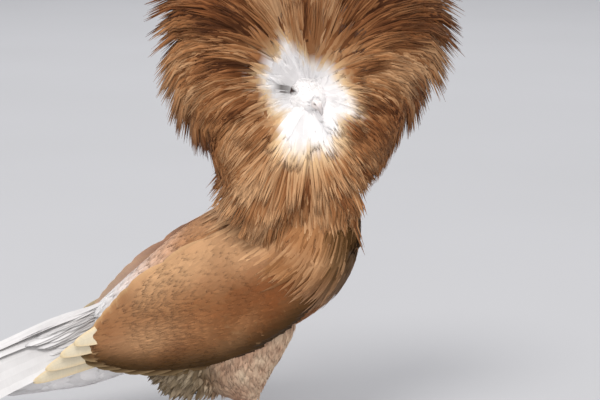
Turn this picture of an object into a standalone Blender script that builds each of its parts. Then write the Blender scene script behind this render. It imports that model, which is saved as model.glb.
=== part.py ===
"""A jacobin pigeon, life size, standing with its head turned to its right.

The bird faces +X, +Z is up and the floor is z = 0. Lengths are in millimetres until a mesh
is made, where MM turns them into metres. Angles are in degrees unless a name says otherwise.
"""

import math
import random

import bmesh
import bpy
import numpy as np
from mathutils import Vector

MM = 0.001
GAP = 0.3
GROWN_GAP = 0.35
SEED = 11

# The whole bird is moved by this much, so that the origin is under the middle of its box.
CENTRE_SHIFT = np.array([46.4, 0.0, 0.0])

UP = np.array([0.0, 0.0, 1.0])

# Body stations from the tail root to the top of the neck: centre x, y, z, pitch of the spine,
# then how far the back, the belly and the sides stand from it.
BODY = np.array(
    [
        [-118, 0, 78, 24, 7, 24, 15],
        [-98, 0, 84, 26, 17, 33, 27],
        [-72, 0, 91, 30, 29, 42, 38],
        [-40, 0, 101, 35, 42, 45, 45],
        [-10, 0, 115, 43, 47, 47, 47],
        [12, 0, 131, 57, 46, 42, 43],
        [23, 0, 151, 75, 29, 32, 33],
        [25, 0, 172, 86, 20, 21, 22],
        [24, -1, 192, 90, 14.5, 14.5, 15],
        [20, -4, 214, 96, 12, 12, 12],
        [17, -7, 228, 96, 9, 9, 9],
    ],
    float,
)
NECK_FROM = 6.6
NECK_TO = 9.9
BODY_SIDES = 20

# The head: its middle, which way it looks, and its egg from the back of the skull to the bill,
# as along, height of the middle, up, down and half width.
HEAD_AT = np.array([19.5, -10.0, 227.0])
HEAD_YAW = -69.0
HEAD_PITCH = -2.0
HEAD_ROLL = -15.0
HEAD = np.array(
    [
        [-16, 1.0, 3.0, 3.0, 3.2],
        [-13.5, 0.8, 8.4, 8.0, 8.4],
        [-8, 0.4, 12.2, 12.2, 12.8],
        [-2, 0.0, 14.0, 13.6, 14.6],
        [4, -0.6, 13.2, 12.4, 13.9],
        [9, -1.8, 10.6, 9.2, 10.2],
        [12.5, -2.8, 7.8, 6.6, 6.6],
        [15, -3.2, 5.0, 4.6, 4.2],
    ],
    float,
)
HEAD_SIDES = 16
EYE_AT = (4.6, 1.6)
EYE_RADIUS = 3.7
EYE_PROUD = 1.2
LID_RING = 3.7
LID_THICK = 0.65
LID_SIDES = 10
BILL = np.array(
    [
        [13.4, -2.9, 3.0, 3.1],
        [17, -3.0, 2.7, 2.7],
        [20.5, -3.5, 2.3, 2.1],
        [23.6, -4.6, 1.9, 1.5],
        [25.8, -6.0, 1.4, 1.0],
        [26.8, -7.6, 0.7, 0.5],
    ],
    float,
)
LOWER_BILL_LENGTH = 0.86
MOUTH_SLOT = 0.5
CERE_RADIUS = (2.8, 1.3, 1.3)

# The wing lies in a slanted plane: u runs back from the shoulder, v up across the wing.
SHOULDER = np.array([38.0, 126.0])
WING_REAR = np.array([-124.0, 66.0])
WING_HALF = np.array(
    [[-10, 33], [20, 48], [55, 54], [90, 52], [120, 46], [150, 39.5], [180, 36], [215, 37]], float
)
WING_LOW = np.array([[-9, 6], [4, -8], [25, -22], [60, -34.6], [88, -37.6], [130, -32]], float)
WING_TOP = np.array([[-9, 12], [5, 27], [30, 41], [60, 45], [90, 39], [130, 25]], float)
WING_CROWN = 0.0115
WING_THICK = 8.0
WING_PAD_END = 118.0
PAD_STEPS = 7
PAD_ACROSS = 6

# The tail: twelve feathers from the rump, fanned and stepped down outwards.
TAIL_ROOT = np.array([-97.0, 0.0, 97.0])
TAIL_PITCH = -19.0
TAIL_LENGTH = 126.0
TAIL_FAN = 21.0
TAIL_STEP = 1.45
TAIL_PAIRS = 6

# The ruff: hood, chain and mane spread round the head in one slanted disc. ACROSS and OUT are
# the disc's own axes, and its plane is turned by RUFF_TURN about UP.
RUFF_AT = np.array([20.0, -4.0, 228.0])
RUFF_YAW = -94.0
RUFF_TURN = 17.0
# Reach of the feathers from the middle by angle: 0 is up, positive towards the breast.
RUFF_REACH = np.array(
    [
        [-180, 86],
        [-168, 82],
        [-152, 77],
        [-138, 74],
        [-122, 69],
        [-106, 79],
        [-88, 86],
        [-71, 96],
        [-56, 111],
        [-36, 121],
        [-16, 113],
        [0, 95],
        [16, 112],
        [36, 122],
        [58, 114],
        [72, 102],
        [86, 88],
        [101, 75],
        [118, 68],
        [140, 70],
        [151, 80],
        [163, 90],
        [174, 90],
        [180, 86],
    ],
    float,
)
RUFF_BEND = 30.0
RUFF_ROOT = 15.0
HOOD_END = 66.0
PARTING = 2.0

# The leg: the ankle is the top of the bare shank.
LEG_SPREAD = 21.0
ANKLE = np.array([-18.5, 0.0, 29.0])
FOOT = np.array([-14.0, 0.0, 5.0])
SHANK_RADIUS = 2.7
TOE_RADIUS = 2.5
# Toe angle from straight ahead, outwards, with its length.
TOES = {"inner": (-28.0, 25.0), "middle": (4.0, 32.0), "outer": (34.0, 26.0), "hind": (176.0, 17.0)}
CLAW_LENGTH = 8.0


def smooth(table, at):
    """Rows of table read at a fractional row number, on a Catmull-Rom curve through the rows."""
    at = min(max(at, 0.0), len(table) - 1.0)
    low = min(int(at), len(table) - 2)
    part = at - low
    rows = [table[min(max(low + k, 0), len(table) - 1)] for k in (-1, 0, 1, 2)]
    a, b, c, d = rows
    return b + 0.5 * part * (c - a + part * (2 * a - 5 * b + 4 * c - d + part * (3 * (b - c) + d - a)))


def reading(table, key):
    """The second column of table at key, with smooth steps between its rows."""
    table = np.asarray(table, float)
    at = np.interp(key, table[:, 0], np.arange(len(table)))
    return float(smooth(table, at)[1])


def unit(vector):
    vector = np.asarray(vector, float)
    return vector / np.linalg.norm(vector)


def heading(yaw, pitch=0.0):
    """The direction at that yaw from +X and that pitch above level."""
    yaw, pitch = math.radians(yaw), math.radians(pitch)
    return np.array(
        [math.cos(yaw) * math.cos(pitch), math.sin(yaw) * math.cos(pitch), math.sin(pitch)]
    )


def material(name, colour, roughness):
    made = bpy.data.materials.new(name)
    made.use_nodes = True
    shader = made.node_tree.nodes["Principled BSDF"]
    shader.inputs["Base Color"].default_value = (*colour, 1.0)
    shader.inputs["Roughness"].default_value = roughness
    shader.inputs["Metallic"].default_value = 0.0
    return made


def mesh_object(name, points, faces):
    """A mesh object from points in millimetres, linked to the scene."""
    mesh = bpy.data.meshes.new(name)
    mesh.from_pydata([tuple(p) for p in np.asarray(points) * MM], [], faces)
    mesh.validate()
    made = bpy.data.objects.new(name, mesh)
    bpy.context.scene.collection.objects.link(made)
    return made


def loft(name, rings):
    """A closed skin through equal rings of points, with a fan of triangles over each end."""
    rings = np.asarray(rings, float)
    count, sides = rings.shape[:2]
    points = list(rings.reshape(-1, 3)) + [rings[0].mean(0), rings[-1].mean(0)]
    first, last = count * sides, count * sides + 1
    faces = []
    for i in range(count - 1):
        for j in range(sides):
            k = (j + 1) % sides
            faces.append((i * sides + j, i * sides + k, (i + 1) * sides + k, (i + 1) * sides + j))
    for j in range(sides):
        k = (j + 1) % sides
        faces.append((first, k, j))
        faces.append((last, (count - 1) * sides + j, (count - 1) * sides + k))
    made = mesh_object(name, points, faces)
    face_outwards(made)
    return made


def face_outwards(made):
    work = bmesh.new()
    work.from_mesh(made.data)
    bmesh.ops.recalc_face_normals(work, faces=work.faces)
    if work.calc_volume(signed=True) < 0:
        bmesh.ops.reverse_faces(work, faces=work.faces)
    work.to_mesh(made.data)
    work.free()


def replace_mesh(made, mesh):
    old = made.data
    made.modifiers.clear()
    made.data = mesh
    bpy.data.meshes.remove(old)


def evaluated_mesh(made):
    graph = bpy.context.evaluated_depsgraph_get()
    return bpy.data.meshes.new_from_object(made.evaluated_get(graph))


def keep_largest(made):
    """Drops every loose scrap and sealed hollow, and keeps the largest closed surface."""
    work = bmesh.new()
    work.from_mesh(made.data)
    work.faces.ensure_lookup_table()
    left = set(work.faces)
    shells = []
    while left:
        seed = left.pop()
        shell, edge = {seed}, [seed]
        while edge:
            face = edge.pop()
            for side in face.edges:
                for other in side.link_faces:
                    if other in left:
                        left.discard(other)
                        shell.add(other)
                        edge.append(other)
        shells.append(shell)
    if len(shells) > 1:
        shells.sort(key=lambda shell: abs(shell_volume(shell)))
        for shell in shells[:-1]:
            bmesh.ops.delete(work, geom=list(shell), context="FACES")
        bmesh.ops.delete(work, geom=[v for v in work.verts if not v.link_faces], context="VERTS")
    work.to_mesh(made.data)
    work.free()


def shell_volume(shell):
    total = 0.0
    for face in shell:
        corners = [v.co for v in face.verts]
        for k in range(1, len(corners) - 1):
            total += corners[0].dot(corners[k].cross(corners[k + 1]))
    return total / 6.0


def combine(made, others, operation, solver="EXACT"):
    """One Boolean of made with a collection of closed meshes, applied, and the others removed."""
    group = bpy.data.collections.new("pieces")
    bpy.context.scene.collection.children.link(group)
    for other in others:
        group.objects.link(other)
    boolean = made.modifiers.new("combine", "BOOLEAN")
    boolean.operation = operation
    boolean.solver = solver
    boolean.operand_type = "COLLECTION"
    boolean.collection = group
    bpy.context.view_layer.update()
    replace_mesh(made, evaluated_mesh(made))
    for other in others:
        mesh = other.data
        bpy.data.objects.remove(other)
        bpy.data.meshes.remove(mesh)
    bpy.data.collections.remove(group)
    return made


def fuse(name, pieces, solver="EXACT"):
    """Joins the pieces into the first, as one closed body."""
    made = pieces[0]
    made.name = name
    if len(pieces) > 1:
        combine(made, pieces[1:], "UNION", solver)
    keep_largest(made)
    return made


def carve(made, cutters, solver="EXACT"):
    """Cuts the others out of made and keeps its largest piece."""
    combine(made, cutters, "DIFFERENCE", solver)
    keep_largest(made)
    return made


def tube(name, points, radii, bevel=2):
    """A round limb as a bevelled curve through the points, made a closed mesh."""
    curve = bpy.data.curves.new(name, "CURVE")
    curve.dimensions = "3D"
    curve.bevel_depth = MM
    curve.bevel_resolution = bevel
    curve.use_fill_caps = True
    spline = curve.splines.new("POLY")
    spline.points.add(len(points) - 1)
    for spot, point, radius in zip(spline.points, points, radii):
        spot.co = (*(np.asarray(point) * MM), 1.0)
        spot.radius = radius
    guide = bpy.data.objects.new(name, curve)
    bpy.context.scene.collection.objects.link(guide)
    bpy.context.view_layer.update()
    mesh = evaluated_mesh(guide)
    work = bmesh.new()
    work.from_mesh(mesh)
    bmesh.ops.remove_doubles(work, verts=work.verts, dist=0.01 * MM)
    work.to_mesh(mesh)
    work.free()
    made = bpy.data.objects.new(name, mesh)
    bpy.context.scene.collection.objects.link(made)
    bpy.data.objects.remove(guide)
    bpy.data.curves.remove(curve)
    made.name = name
    face_outwards(made)
    return made


def ball(name, centre, radii, axes, steps=(16, 10)):
    """An ellipsoid from a primitive sphere, with its radii along the three axes."""
    work = bmesh.new()
    bmesh.ops.create_uvsphere(work, u_segments=steps[0], v_segments=steps[1], radius=1.0)
    points = np.array([v.co for v in work.verts])
    placed = centre + (points * np.asarray(radii)) @ np.asarray(axes)
    for vert, place in zip(work.verts, placed):
        vert.co = Vector(place * MM)
    mesh = bpy.data.meshes.new(name)
    work.to_mesh(mesh)
    work.free()
    made = bpy.data.objects.new(name, mesh)
    bpy.context.scene.collection.objects.link(made)
    face_outwards(made)
    return made


# Body and neck


def body_place(at):
    """Centre, spine direction, back direction and the back, belly and side reach at a station."""
    row = smooth(BODY, at)
    along = heading(0.0, row[3])
    back = np.array([-along[2], 0.0, along[0]])
    return row[:3], along, back, row[4], row[5], row[6]


def body_ring(at, grow=0.0, shift=0.0, sides=BODY_SIDES):
    centre, along, back, high, low, wide = body_place(at)
    ring = []
    for k in range(sides):
        turn = 2 * math.pi * k / sides
        reach = (high if math.cos(turn) > 0 else low) + grow
        side = np.array([0.0, wide + grow, 0.0])
        ring.append(centre + along * shift + back * reach * math.cos(turn) + side * math.sin(turn))
    return ring


def body_loft(name, start, end, count, grow=0.0):
    stations = np.linspace(start, end, count)
    rings = [body_ring(at, grow) for at in stations]
    rings[0] = body_ring(start, grow, -grow)
    rings[-1] = body_ring(end, grow, grow)
    return loft(name, rings)


def grown_body(name="grown body"):
    return body_loft(name, 0.0, NECK_TO, 22, GROWN_GAP + 0.4)


def torso():
    return body_loft("torso", 0.0, NECK_FROM, 13)


def neck():
    start = NECK_FROM + GAP / 20.0
    made = body_loft("neck", start, NECK_TO, 7)
    return carve(made, [head_egg("grown head", GROWN_GAP)])


# Head


def head_axes():
    """Forward, left and up of the head."""
    forward = heading(HEAD_YAW, HEAD_PITCH)
    level = unit(np.cross(UP, forward))
    crown = np.cross(forward, level)
    roll = math.radians(HEAD_ROLL)
    left = level * math.cos(roll) + crown * math.sin(roll)
    return np.array([forward, left, np.cross(forward, left)])


def in_head(along, left, up):
    return HEAD_AT + np.array([along, left, up]) @ head_axes()


def head_egg(name, grow=0.0):
    rings = []
    for at in np.linspace(0, len(HEAD) - 1, 10):
        along, middle, high, low, wide = smooth(HEAD, at)
        along += grow * (at - (len(HEAD) - 1) / 2) / len(HEAD)
        ring = []
        for k in range(HEAD_SIDES):
            turn = 2 * math.pi * k / HEAD_SIDES
            reach = (high if math.cos(turn) > 0 else low) + grow
            ring.append(
                in_head(along, (wide + grow) * math.sin(turn), middle + reach * math.cos(turn))
            )
        rings.append(ring)
    return loft(name, rings)


def eye_centre(side):
    """The eyeball's middle, sunk so that it stands EYE_PROUD out of the side of the head."""
    along, up = EYE_AT
    at = float(np.interp(along, HEAD[:, 0], np.arange(len(HEAD))))
    _, middle, high, _, wide = smooth(HEAD, at)
    out = wide * math.sqrt(1 - ((up - middle) / high) ** 2)
    return in_head(along, side * (out - EYE_RADIUS + EYE_PROUD), up)


def head():
    """The skull with a lid ring round each eye, its sockets, and the slot of the mouth."""
    axes = head_axes()
    pieces = [head_egg("head")]
    for side in (1, -1):
        ring = []
        centre = eye_centre(side) + axes[1] * side * (EYE_RADIUS - EYE_PROUD * 0.6)
        for k in range(LID_SIDES):
            turn = 2 * math.pi * k / LID_SIDES
            spoke = axes[0] * math.cos(turn) + axes[2] * math.sin(turn) * 0.92
            circle = []
            for m in range(5):
                lean = 2 * math.pi * m / 5
                circle.append(
                    centre
                    + spoke * (LID_RING + LID_THICK * math.cos(lean))
                    + axes[1] * LID_THICK * math.sin(lean)
                )
            ring.append(circle)
        pieces.append(closed_ring("lid", ring))
    made = fuse("head", pieces)
    sockets = [
        ball("socket", eye_centre(side), [EYE_RADIUS + GROWN_GAP] * 3, axes, (12, 8)) for side in (1, -1)
    ]
    slot = ball("slot", in_head(10.0, 0.0, -4.4), (7.5, 9.0, MOUTH_SLOT), axes, (12, 6))
    carve(made, sockets)
    return carve(made, [slot])


def closed_ring(name, circles):
    """A ring of circles joined end to end, such as a lid."""
    circles = np.asarray(circles)
    count, sides = circles.shape[:2]
    faces = []
    for i in range(count):
        n = (i + 1) % count
        for j in range(sides):
            k = (j + 1) % sides
            faces.append((i * sides + j, i * sides + k, n * sides + k, n * sides + j))
    made = mesh_object(name, circles.reshape(-1, 3), faces)
    face_outwards(made)
    return made


def eye(name, side):
    return ball(name, eye_centre(side), [EYE_RADIUS] * 3, head_axes(), (12, 8))


def bill_half(name, upper):
    """Half a bill: an arched loft whose flat side is the line of the mouth."""
    rings = []
    for at in np.linspace(0, len(BILL) - 1, 8):
        along, middle, tall, wide = smooth(BILL, at)
        if not upper:
            along = BILL[0, 0] + (along - BILL[0, 0]) * LOWER_BILL_LENGTH
            tall *= 0.72
            wide *= 0.9
            middle += 0.25 * (middle - BILL[0, 1]) * -1
        sign = 1 if upper else -1
        mouth = middle - 0.6 + sign * GAP / 2
        ring = []
        for turn in np.linspace(0, math.pi, 9):
            ring.append(in_head(along, wide * math.cos(turn), mouth + sign * tall * math.sin(turn)))
        rings.append(ring)
    return loft(name, rings)


def bill_upper():
    axes = head_axes()
    pieces = [bill_half("bill_upper", True)]
    for side in (1, -1):
        pieces.append(
            ball("cere", in_head(16.6, side * 1.4, -1.5), CERE_RADIUS, axes, (8, 6))
        )
    made = fuse("bill_upper", pieces)
    nostrils = [
        ball("nostril", in_head(18.6, side * 2.5, -2.4), (1.4, 0.7, 0.4), axes, (6, 5))
        for side in (1, -1)
    ]
    carve(made, nostrils)
    return carve(made, [head_egg("grown head", GROWN_GAP)])


def bill_lower():
    return carve(bill_half("bill_lower", False), [head_egg("grown head", GROWN_GAP)])


# Feather vanes

VANE_WIDTHS = {
    "round": (0.55, 0.86, 1.0, 1.0, 0.84, 0.40),
    "long": (0.60, 0.80, 0.94, 1.0, 0.86, 0.34),
    "lock": (0.62, 0.88, 1.0, 0.98, 0.80, 0.30),
}


def half_widths(shape, width, count):
    """Half of a vane's width at count places from root to tip."""
    given = VANE_WIDTHS[shape]
    places = np.linspace(0, 1, count)
    return width / 2 * np.interp(places, np.linspace(0, 1, len(given)), given)


def vane(left, right, thick):
    """A thin feather between its two edges, with its two faces split into triangles alike."""
    left, right = np.asarray(left, float), np.asarray(right, float)
    ahead = np.gradient((left + right) / 2, axis=0)
    over = np.cross(ahead, right - left)
    over /= np.linalg.norm(over, axis=1)[:, None]
    over *= (thick / 2 * np.interp(np.linspace(0, 1, len(left)), [0, 0.7, 1], [1.0, 0.95, 0.6]))[:, None]
    points = np.stack([left + over, right + over, right - over, left - over], 1).reshape(-1, 3)
    faces = []
    last = 4 * (len(left) - 1)
    for i in range(len(left) - 1):
        a, b = 4 * i, 4 * (i + 1)
        faces += [(a, a + 1, b + 1), (a, b + 1, b)]
        faces += [(a + 3, b + 2, a + 2), (a + 3, b + 3, b + 2)]
        faces += [(a + 1, a + 2, b + 2), (a + 1, b + 2, b + 1)]
        faces += [(a + 3, a, b), (a + 3, b, b + 3)]
    faces += [(0, 3, 2), (0, 2, 1), (last, last + 1, last + 2), (last, last + 2, last + 3)]
    made = mesh_object("vane", points, faces)
    face_outwards(made)
    return made


def flat_vane(path, normals, width, thick, shape):
    """A vane that is flat across, square to its normals."""
    path = np.asarray(path, float)
    across = np.cross(np.gradient(path, axis=0), np.asarray(normals, float))
    across /= np.linalg.norm(across, axis=1)[:, None]
    across *= half_widths(shape, width, len(path))[:, None]
    return vane(path - across, path + across, thick)


# Wings


def wing_axes():
    back = unit(WING_REAR - SHOULDER)
    return back, np.array([back[1], -back[0]])


def wing_point(side, u, v, lift=0.0):
    """A point of the wing's outer face, side -1 for the right wing, raised by lift."""
    back, above = wing_axes()
    x, z = SHOULDER + back * u + above * v
    return np.array([x, side * (wing_half(u, v) + lift), z])


def wing_half(u, v):
    return reading(WING_HALF, u) - WING_CROWN * v * v


def wing_uv(x, z):
    back, above = wing_axes()
    rel = np.array([x, z]) - SHOULDER
    return float(rel @ back), float(rel @ above)


def wing_pad(name, side, grow=0.0):
    """The arm of the folded wing: a shell under the coverts, thinner towards its rims."""
    rings = []
    for i, u in enumerate(np.linspace(WING_LOW[0, 0], WING_PAD_END, PAD_STEPS)):
        low, top = reading(WING_LOW, u) - grow, reading(WING_TOP, u) + grow
        outer, inner = [], []
        for k, share in enumerate(np.linspace(0, 1, PAD_ACROSS)):
            v = low + (top - low) * share
            rim = min(1.0, 0.25 + 2.6 * min(share, 1 - share)) * min(1.0, 0.3 + 0.35 * i)
            outer.append(wing_point(side, u, v, -1.2 + grow - 2.0 * (1 - rim)))
            inner.append(wing_point(side, u, v, -1.2 - grow - 2.0 * (1 - rim) - WING_THICK * rim))
        rings.append(outer + inner[::-1])
    if grow:
        back, _ = wing_axes()
        end = np.array([back[0], 0.0, back[1]]) * grow
        rings[0] = [p - end for p in rings[0]]
        rings[-1] = [p + end for p in rings[-1]]
    return loft(name, rings)


def wing_vane(side, root, tip, width, thick, lift, tilt, shape, steps):
    """A covert or flight from root to tip, both (u, v), following the wing's face."""
    root, tip = np.asarray(root, float), np.asarray(tip, float)
    path, normals = [], []
    for share in np.linspace(0, 1, steps):
        u, v = root + (tip - root) * share
        rise = lift[0] + (lift[1] - lift[0]) * math.sin(math.pi / 2 * share)
        path.append(wing_point(side, u, v, rise))
        around = wing_point(side, u, v + 1) - wing_point(side, u, v - 1)
        ahead = wing_point(side, u + 1, v) - wing_point(side, u - 1, v)
        normal = unit(np.cross(around, ahead)) * -side
        normal = normal if normal[1] * side > 0 else -normal
        normals.append(unit(normal + unit(around) * math.tan(math.radians(tilt))))
    return flat_vane(path, normals, width, thick, shape)


def wing_rows():
    """Every vane of one wing as root, tip, width, thickness, rise at root and tip, and tilt."""
    rows = []
    for row, (u, count, long, wide) in enumerate([(12, 3, 38, 25), (38, 4, 40, 25), (64, 4, 46, 26)]):
        low, top = reading(WING_LOW, u) + 7, reading(WING_TOP, u) - 7
        for k in range(count):
            v = low + (top - low) * (k + 0.5 * (row % 2)) / (count - 0.5)
            aim = unit(np.array([235.0, 0.0]) - np.array([u, v]))
            tip = np.array([u, v]) + aim * (long + 2 * math.sin(2.1 * k + row))
            rows.append(((u, v), tip, wide, 1.2, (-3.5, 1.9 + 0.2 * row), 7, "round", 4))
    return rows


FLIGHT_TIPS = [(131, -31), (149, -23), (166, -12), (176, -2), (169, 7), (157, 15), (143, 22)]
PRIMARY_TIPS = [(195, -11), (213, -7)]


def wing_flights():
    rows = []
    for k, tip in enumerate(FLIGHT_TIPS):
        root = (88 + 1.2 * k, -24 + 8.0 * k)
        rows.append((root, tip, 20.5, 1.1, (-3.6, -1.4), 11, "long", 5))
    for k, tip in enumerate(PRIMARY_TIPS):
        root = (96, -22 + 4.0 * k)
        rows.append((root, tip, 13, 1.1, (-7.0 - 0.2 * k, -6.2 - 1.5 * k), 4, "long", 5))
    return rows


def wing(name, side):
    """The folded wing: an arm under rows of coverts, with the flights fanned out behind it."""
    pieces = [wing_pad(name, side)]
    for root, tip, width, thick, lift, tilt, shape, steps in wing_rows() + wing_flights():
        pieces.append(wing_vane(side, root, tip, width, thick, lift, tilt, shape, steps))
    return carve(fuse(name, pieces, "MANIFOLD"), [grown_body()], "MANIFOLD")


# Tail


def tail_point(fan, far, drop):
    """A point far along a tail feather at that fan angle, lowered by drop."""
    down = heading(0.0, TAIL_PITCH)
    back = np.array([-down[0], 0.0, down[2]])
    above = np.array([down[2], 0.0, down[0]]) * -1
    above = above if above[2] > 0 else -above
    turn = math.radians(fan)
    sag = 6.0 * (far / TAIL_LENGTH) ** 2
    side = np.array([0.0, 1.0, 0.0])
    return TAIL_ROOT + (back * math.cos(turn) + side * math.sin(turn)) * far - above * (drop + sag)


def tail_vane(fan, start, long, drop, width, thick=1.1, roll=4.0, shape="long"):
    side = np.array([0.0, 1.0, 0.0])
    path = [tail_point(fan, far, drop) for far in np.linspace(start, long, 5)]
    ahead = unit(path[-1] - path[0])
    above = unit(np.cross(ahead, side))
    above = above if above[2] > 0 else -above
    lean = math.copysign(math.tan(math.radians(roll)), fan) if fan else 0.0
    return flat_vane(path, [unit(above + side * lean)] * 5, width, thick, shape)


def tail():
    """Tail feathers in a stepped fan, with coverts over and under their roots."""
    axes = [heading(0, -TAIL_PITCH), [0, 1, 0], heading(0, 90 - TAIL_PITCH)]
    pieces = [ball("tail", tail_point(0.0, 24.0, 22.0), (38.0, 17.0, 16.0), axes, (12, 8))]
    for k in range(TAIL_PAIRS):
        for n, side in enumerate((-1, 1)):
            fan = side * TAIL_FAN * (k + 0.5) / (TAIL_PAIRS - 0.5)
            drop = 4.0 + TAIL_STEP * (2 * k + n)
            pieces.append(tail_vane(fan, 8, TAIL_LENGTH - 0.8 * k, drop, 19.0, roll=4.0 + 1.2 * k))
    for k in range(-1, 2):
        odd = 1.5 * (k % 2)
        pieces.append(tail_vane(11.0 * k, 6, 50 - 2 * abs(k), 1.6 - odd, 19, shape="round"))
        low = 6.5 + TAIL_STEP * (2 * TAIL_PAIRS) + 4.0 * abs(k) + odd
        pieces.append(tail_vane(11.0 * k, 6, 66 - 3 * abs(k), low, 20, shape="round"))
        pieces.append(tail_vane(10.0 * k, 4, 50 - 3 * abs(k), low + 6.5, 20, shape="round"))
    return carve(fuse("tail", pieces), [grown_body()])


# Legs


def leg_point(point, side):
    return np.asarray(point, float) + np.array([0.0, side * LEG_SPREAD, 0.0])


THIGH = np.array(
    [
        [-22, 0, 82, 33, 17.8],
        [-23, 1, 69, 33, 16.8],
        [-25, 1, 56, 29, 15.5],
        [-25, 0.5, 44, 21, 12.5],
        [-22, 0, 35, 12, 8.5],
        [-18.7, 0, 29.0, 5.0, 4.6],
    ],
    float,
)


def thigh(name, side):
    rings = []
    for at in np.linspace(0, len(THIGH) - 1, 8):
        x, y, z, deep, wide = smooth(THIGH, at)
        middle = leg_point((x, side * y, z), side)
        rings.append(
            [
                middle + np.array([deep * math.cos(t), wide * math.sin(t), 0.25 * deep * math.cos(t)])
                for t in np.linspace(0, 2 * math.pi, 14, endpoint=False)
            ]
        )
    made = loft(name, rings)
    carve(made, [grown_body()])
    return carve(made, [wing_pad("grown wing", side, 3.0)])


def shank_path(side):
    top = leg_point(ANKLE + np.array([0, 0, -0.9]), side)
    bottom = leg_point(FOOT + np.array([0, 0, 3.2]), side)
    return top, bottom


def shank(name, side):
    top, bottom = shank_path(side)
    spots = [top + (bottom - top) * share for share in (0, 0.12, 0.5, 0.88, 1.0)]
    return tube(name, spots, [SHANK_RADIUS * f for f in (1.25, 1.08, 0.94, 1.0, 1.12)])


def toe_path(side, angle, long):
    """From the pad of the foot, over the first joint, down to the last one."""
    ahead = heading(-side * -angle)
    start = leg_point(FOOT, side) * np.array([1, 1, 0])
    spots = []
    for share, high in ((0.0, 2.5), (0.35, 2.2), (0.72, 1.9), (1.0, 1.8)):
        spots.append(start + ahead * long * share + UP * high)
    return spots, ahead


def foot(name, side):
    top, bottom = shank_path(side)
    base = bottom - UP * (GAP + 0.5)
    pieces = [
        tube(name, [base, leg_point(FOOT, side) * np.array([1, 1, 0]) + UP * 3.0], [3.3, 3.3])
    ]
    for angle, long in TOES.values():
        spots, _ = toe_path(side, angle, long)
        radii = [TOE_RADIUS * f for f in (1.15, 1.0, 0.96, 0.62)]
        pieces.append(tube("toe", spots, radii))
    made = fuse(name, pieces)
    bpy.ops.mesh.primitive_cube_add(size=1.0)
    floor = bpy.context.object
    for vert in floor.data.vertices:
        vert.co = vert.co * 0.4 + Vector((0, 0, -0.2))
    return carve(made, [floor])


def claw(name, side, angle, long):
    spots, ahead = toe_path(side, angle, long)
    start = spots[-1] + ahead * (GAP + 0.1) + UP * 0.1
    path, radii = [], []
    for share in np.linspace(0, 1, 4):
        rise = 0.6 * math.sin(math.pi * share) - share
        path.append(start + ahead * CLAW_LENGTH * share + UP * rise)
        radii.append(1.25 - 0.85 * share)
    return tube(name, path, radii, 1)


# Ruff


def ruff_axes():
    out = heading(RUFF_YAW)
    return np.array([-out[1], out[0], 0.0]), out


def ruff_point(angle, far, depth):
    """A point of the ruff by its angle from up, its distance from the middle and its depth."""
    across, out = ruff_axes()
    turn = math.radians(angle)
    x, z = far * math.sin(turn), far * math.cos(turn)
    return RUFF_AT + across * x + UP * z + out * (depth - math.tan(math.radians(RUFF_TURN)) * x)


def blend_low(angle):
    """0 round the top and sides of the ruff, 1 at the bottom, where it falls on the shoulders."""
    share = min(max((abs(angle) - 118.0) / 42.0, 0.0), 1.0)
    return share * share * (3 - 2 * share)


# The ruff's locks: where they root and come clear, and each row's layer, count, width and reach.
LOCK_ROOT = 0.15
LOCK_SUNK = 2.6
LOCK_FREE = 0.22
LOCK_STAGGER = 1.4
LOCK_THICK = 1.0
LOCK_CLEAR = 3.2
LOCK_STEPS = 5
HOOD_ROWS = ((0.7, 4, 26, 1.0), (1.0, 4, 26, 0.93))
CHAIN_ROWS = ((0.7, 6, 23, 1.0), (1.0, 6, 23, 0.93))
MANE_ROWS = ((0.3, 14, 32, 1.0), (0.0, 14, 32, 0.93))

# How far out a feather is by share of its length, so that it turns over the ruff's rim.
RUFF_OUT = np.array([[0, 0], [0.12, 0.13], [0.3, 0.35], [0.5, 0.6], [0.7, 0.81], [0.85, 0.93], [1, 1]])
# Depth of the ruff's face and back by share of the length: spread round the top and sides,
# then where it hangs down the shoulders.
SPREAD_FACE = np.array(
    [[0, 6], [0.12, 9], [0.3, 22], [0.5, 31], [0.7, 31], [0.85, 24], [1, 9]], float
)
SPREAD_BACK = np.array(
    [[0, -16], [0.12, -17], [0.3, -23], [0.5, -28], [0.7, -28], [0.85, -22], [1, -10]], float
)
HANG_FACE = np.array([[0, 13], [0.12, 17], [0.3, 24], [0.5, 32], [0.7, 38], [1, 43]], float)
HANG_BACK = np.array([[0, -17], [0.12, -20], [0.3, -30], [0.5, -37], [0.7, -41], [1, -44]], float)


def ruff_depth(angle, share, layer):
    """Depth of a layer, 1 for the ruff's face and 0 for its back, at a share of the reach."""
    low = blend_low(angle)
    face = (1 - low) * reading(SPREAD_FACE, share) + low * reading(HANG_FACE, share)
    back = (1 - low) * reading(SPREAD_BACK, share) + low * reading(HANG_BACK, share)
    return back + (face - back) * layer


def ruff_out(share):
    return reading(RUFF_OUT, share) if share < 1 else share


def ruff_bend(angle):
    """How far a feather that leaves the head at this angle curls down by its tip."""
    span = min(max((abs(angle) - 4.0) / 131.0, 0.0), 1.0)
    return math.copysign(RUFF_BEND * math.sin(math.pi * span), angle)


def ruff_place(angle, share, layer, lift=0.0, slip=0.0):
    """A point on the lie of the ruff: slip moves it sideways and lift towards the face, in mm."""
    tip_angle = angle + ruff_bend(angle)
    far = reading(RUFF_REACH, tip_angle) * ruff_out(share)
    here = angle + ruff_bend(angle) * share**1.6 + math.degrees(slip / max(far, 1.0))
    return ruff_point(here, far, ruff_depth(here, share, layer) + lift)


NECK_TOP_PAST = 2.0
BODY_SAMPLES = [body_place(at) for at in np.linspace(0, NECK_TO, 120)]


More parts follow.
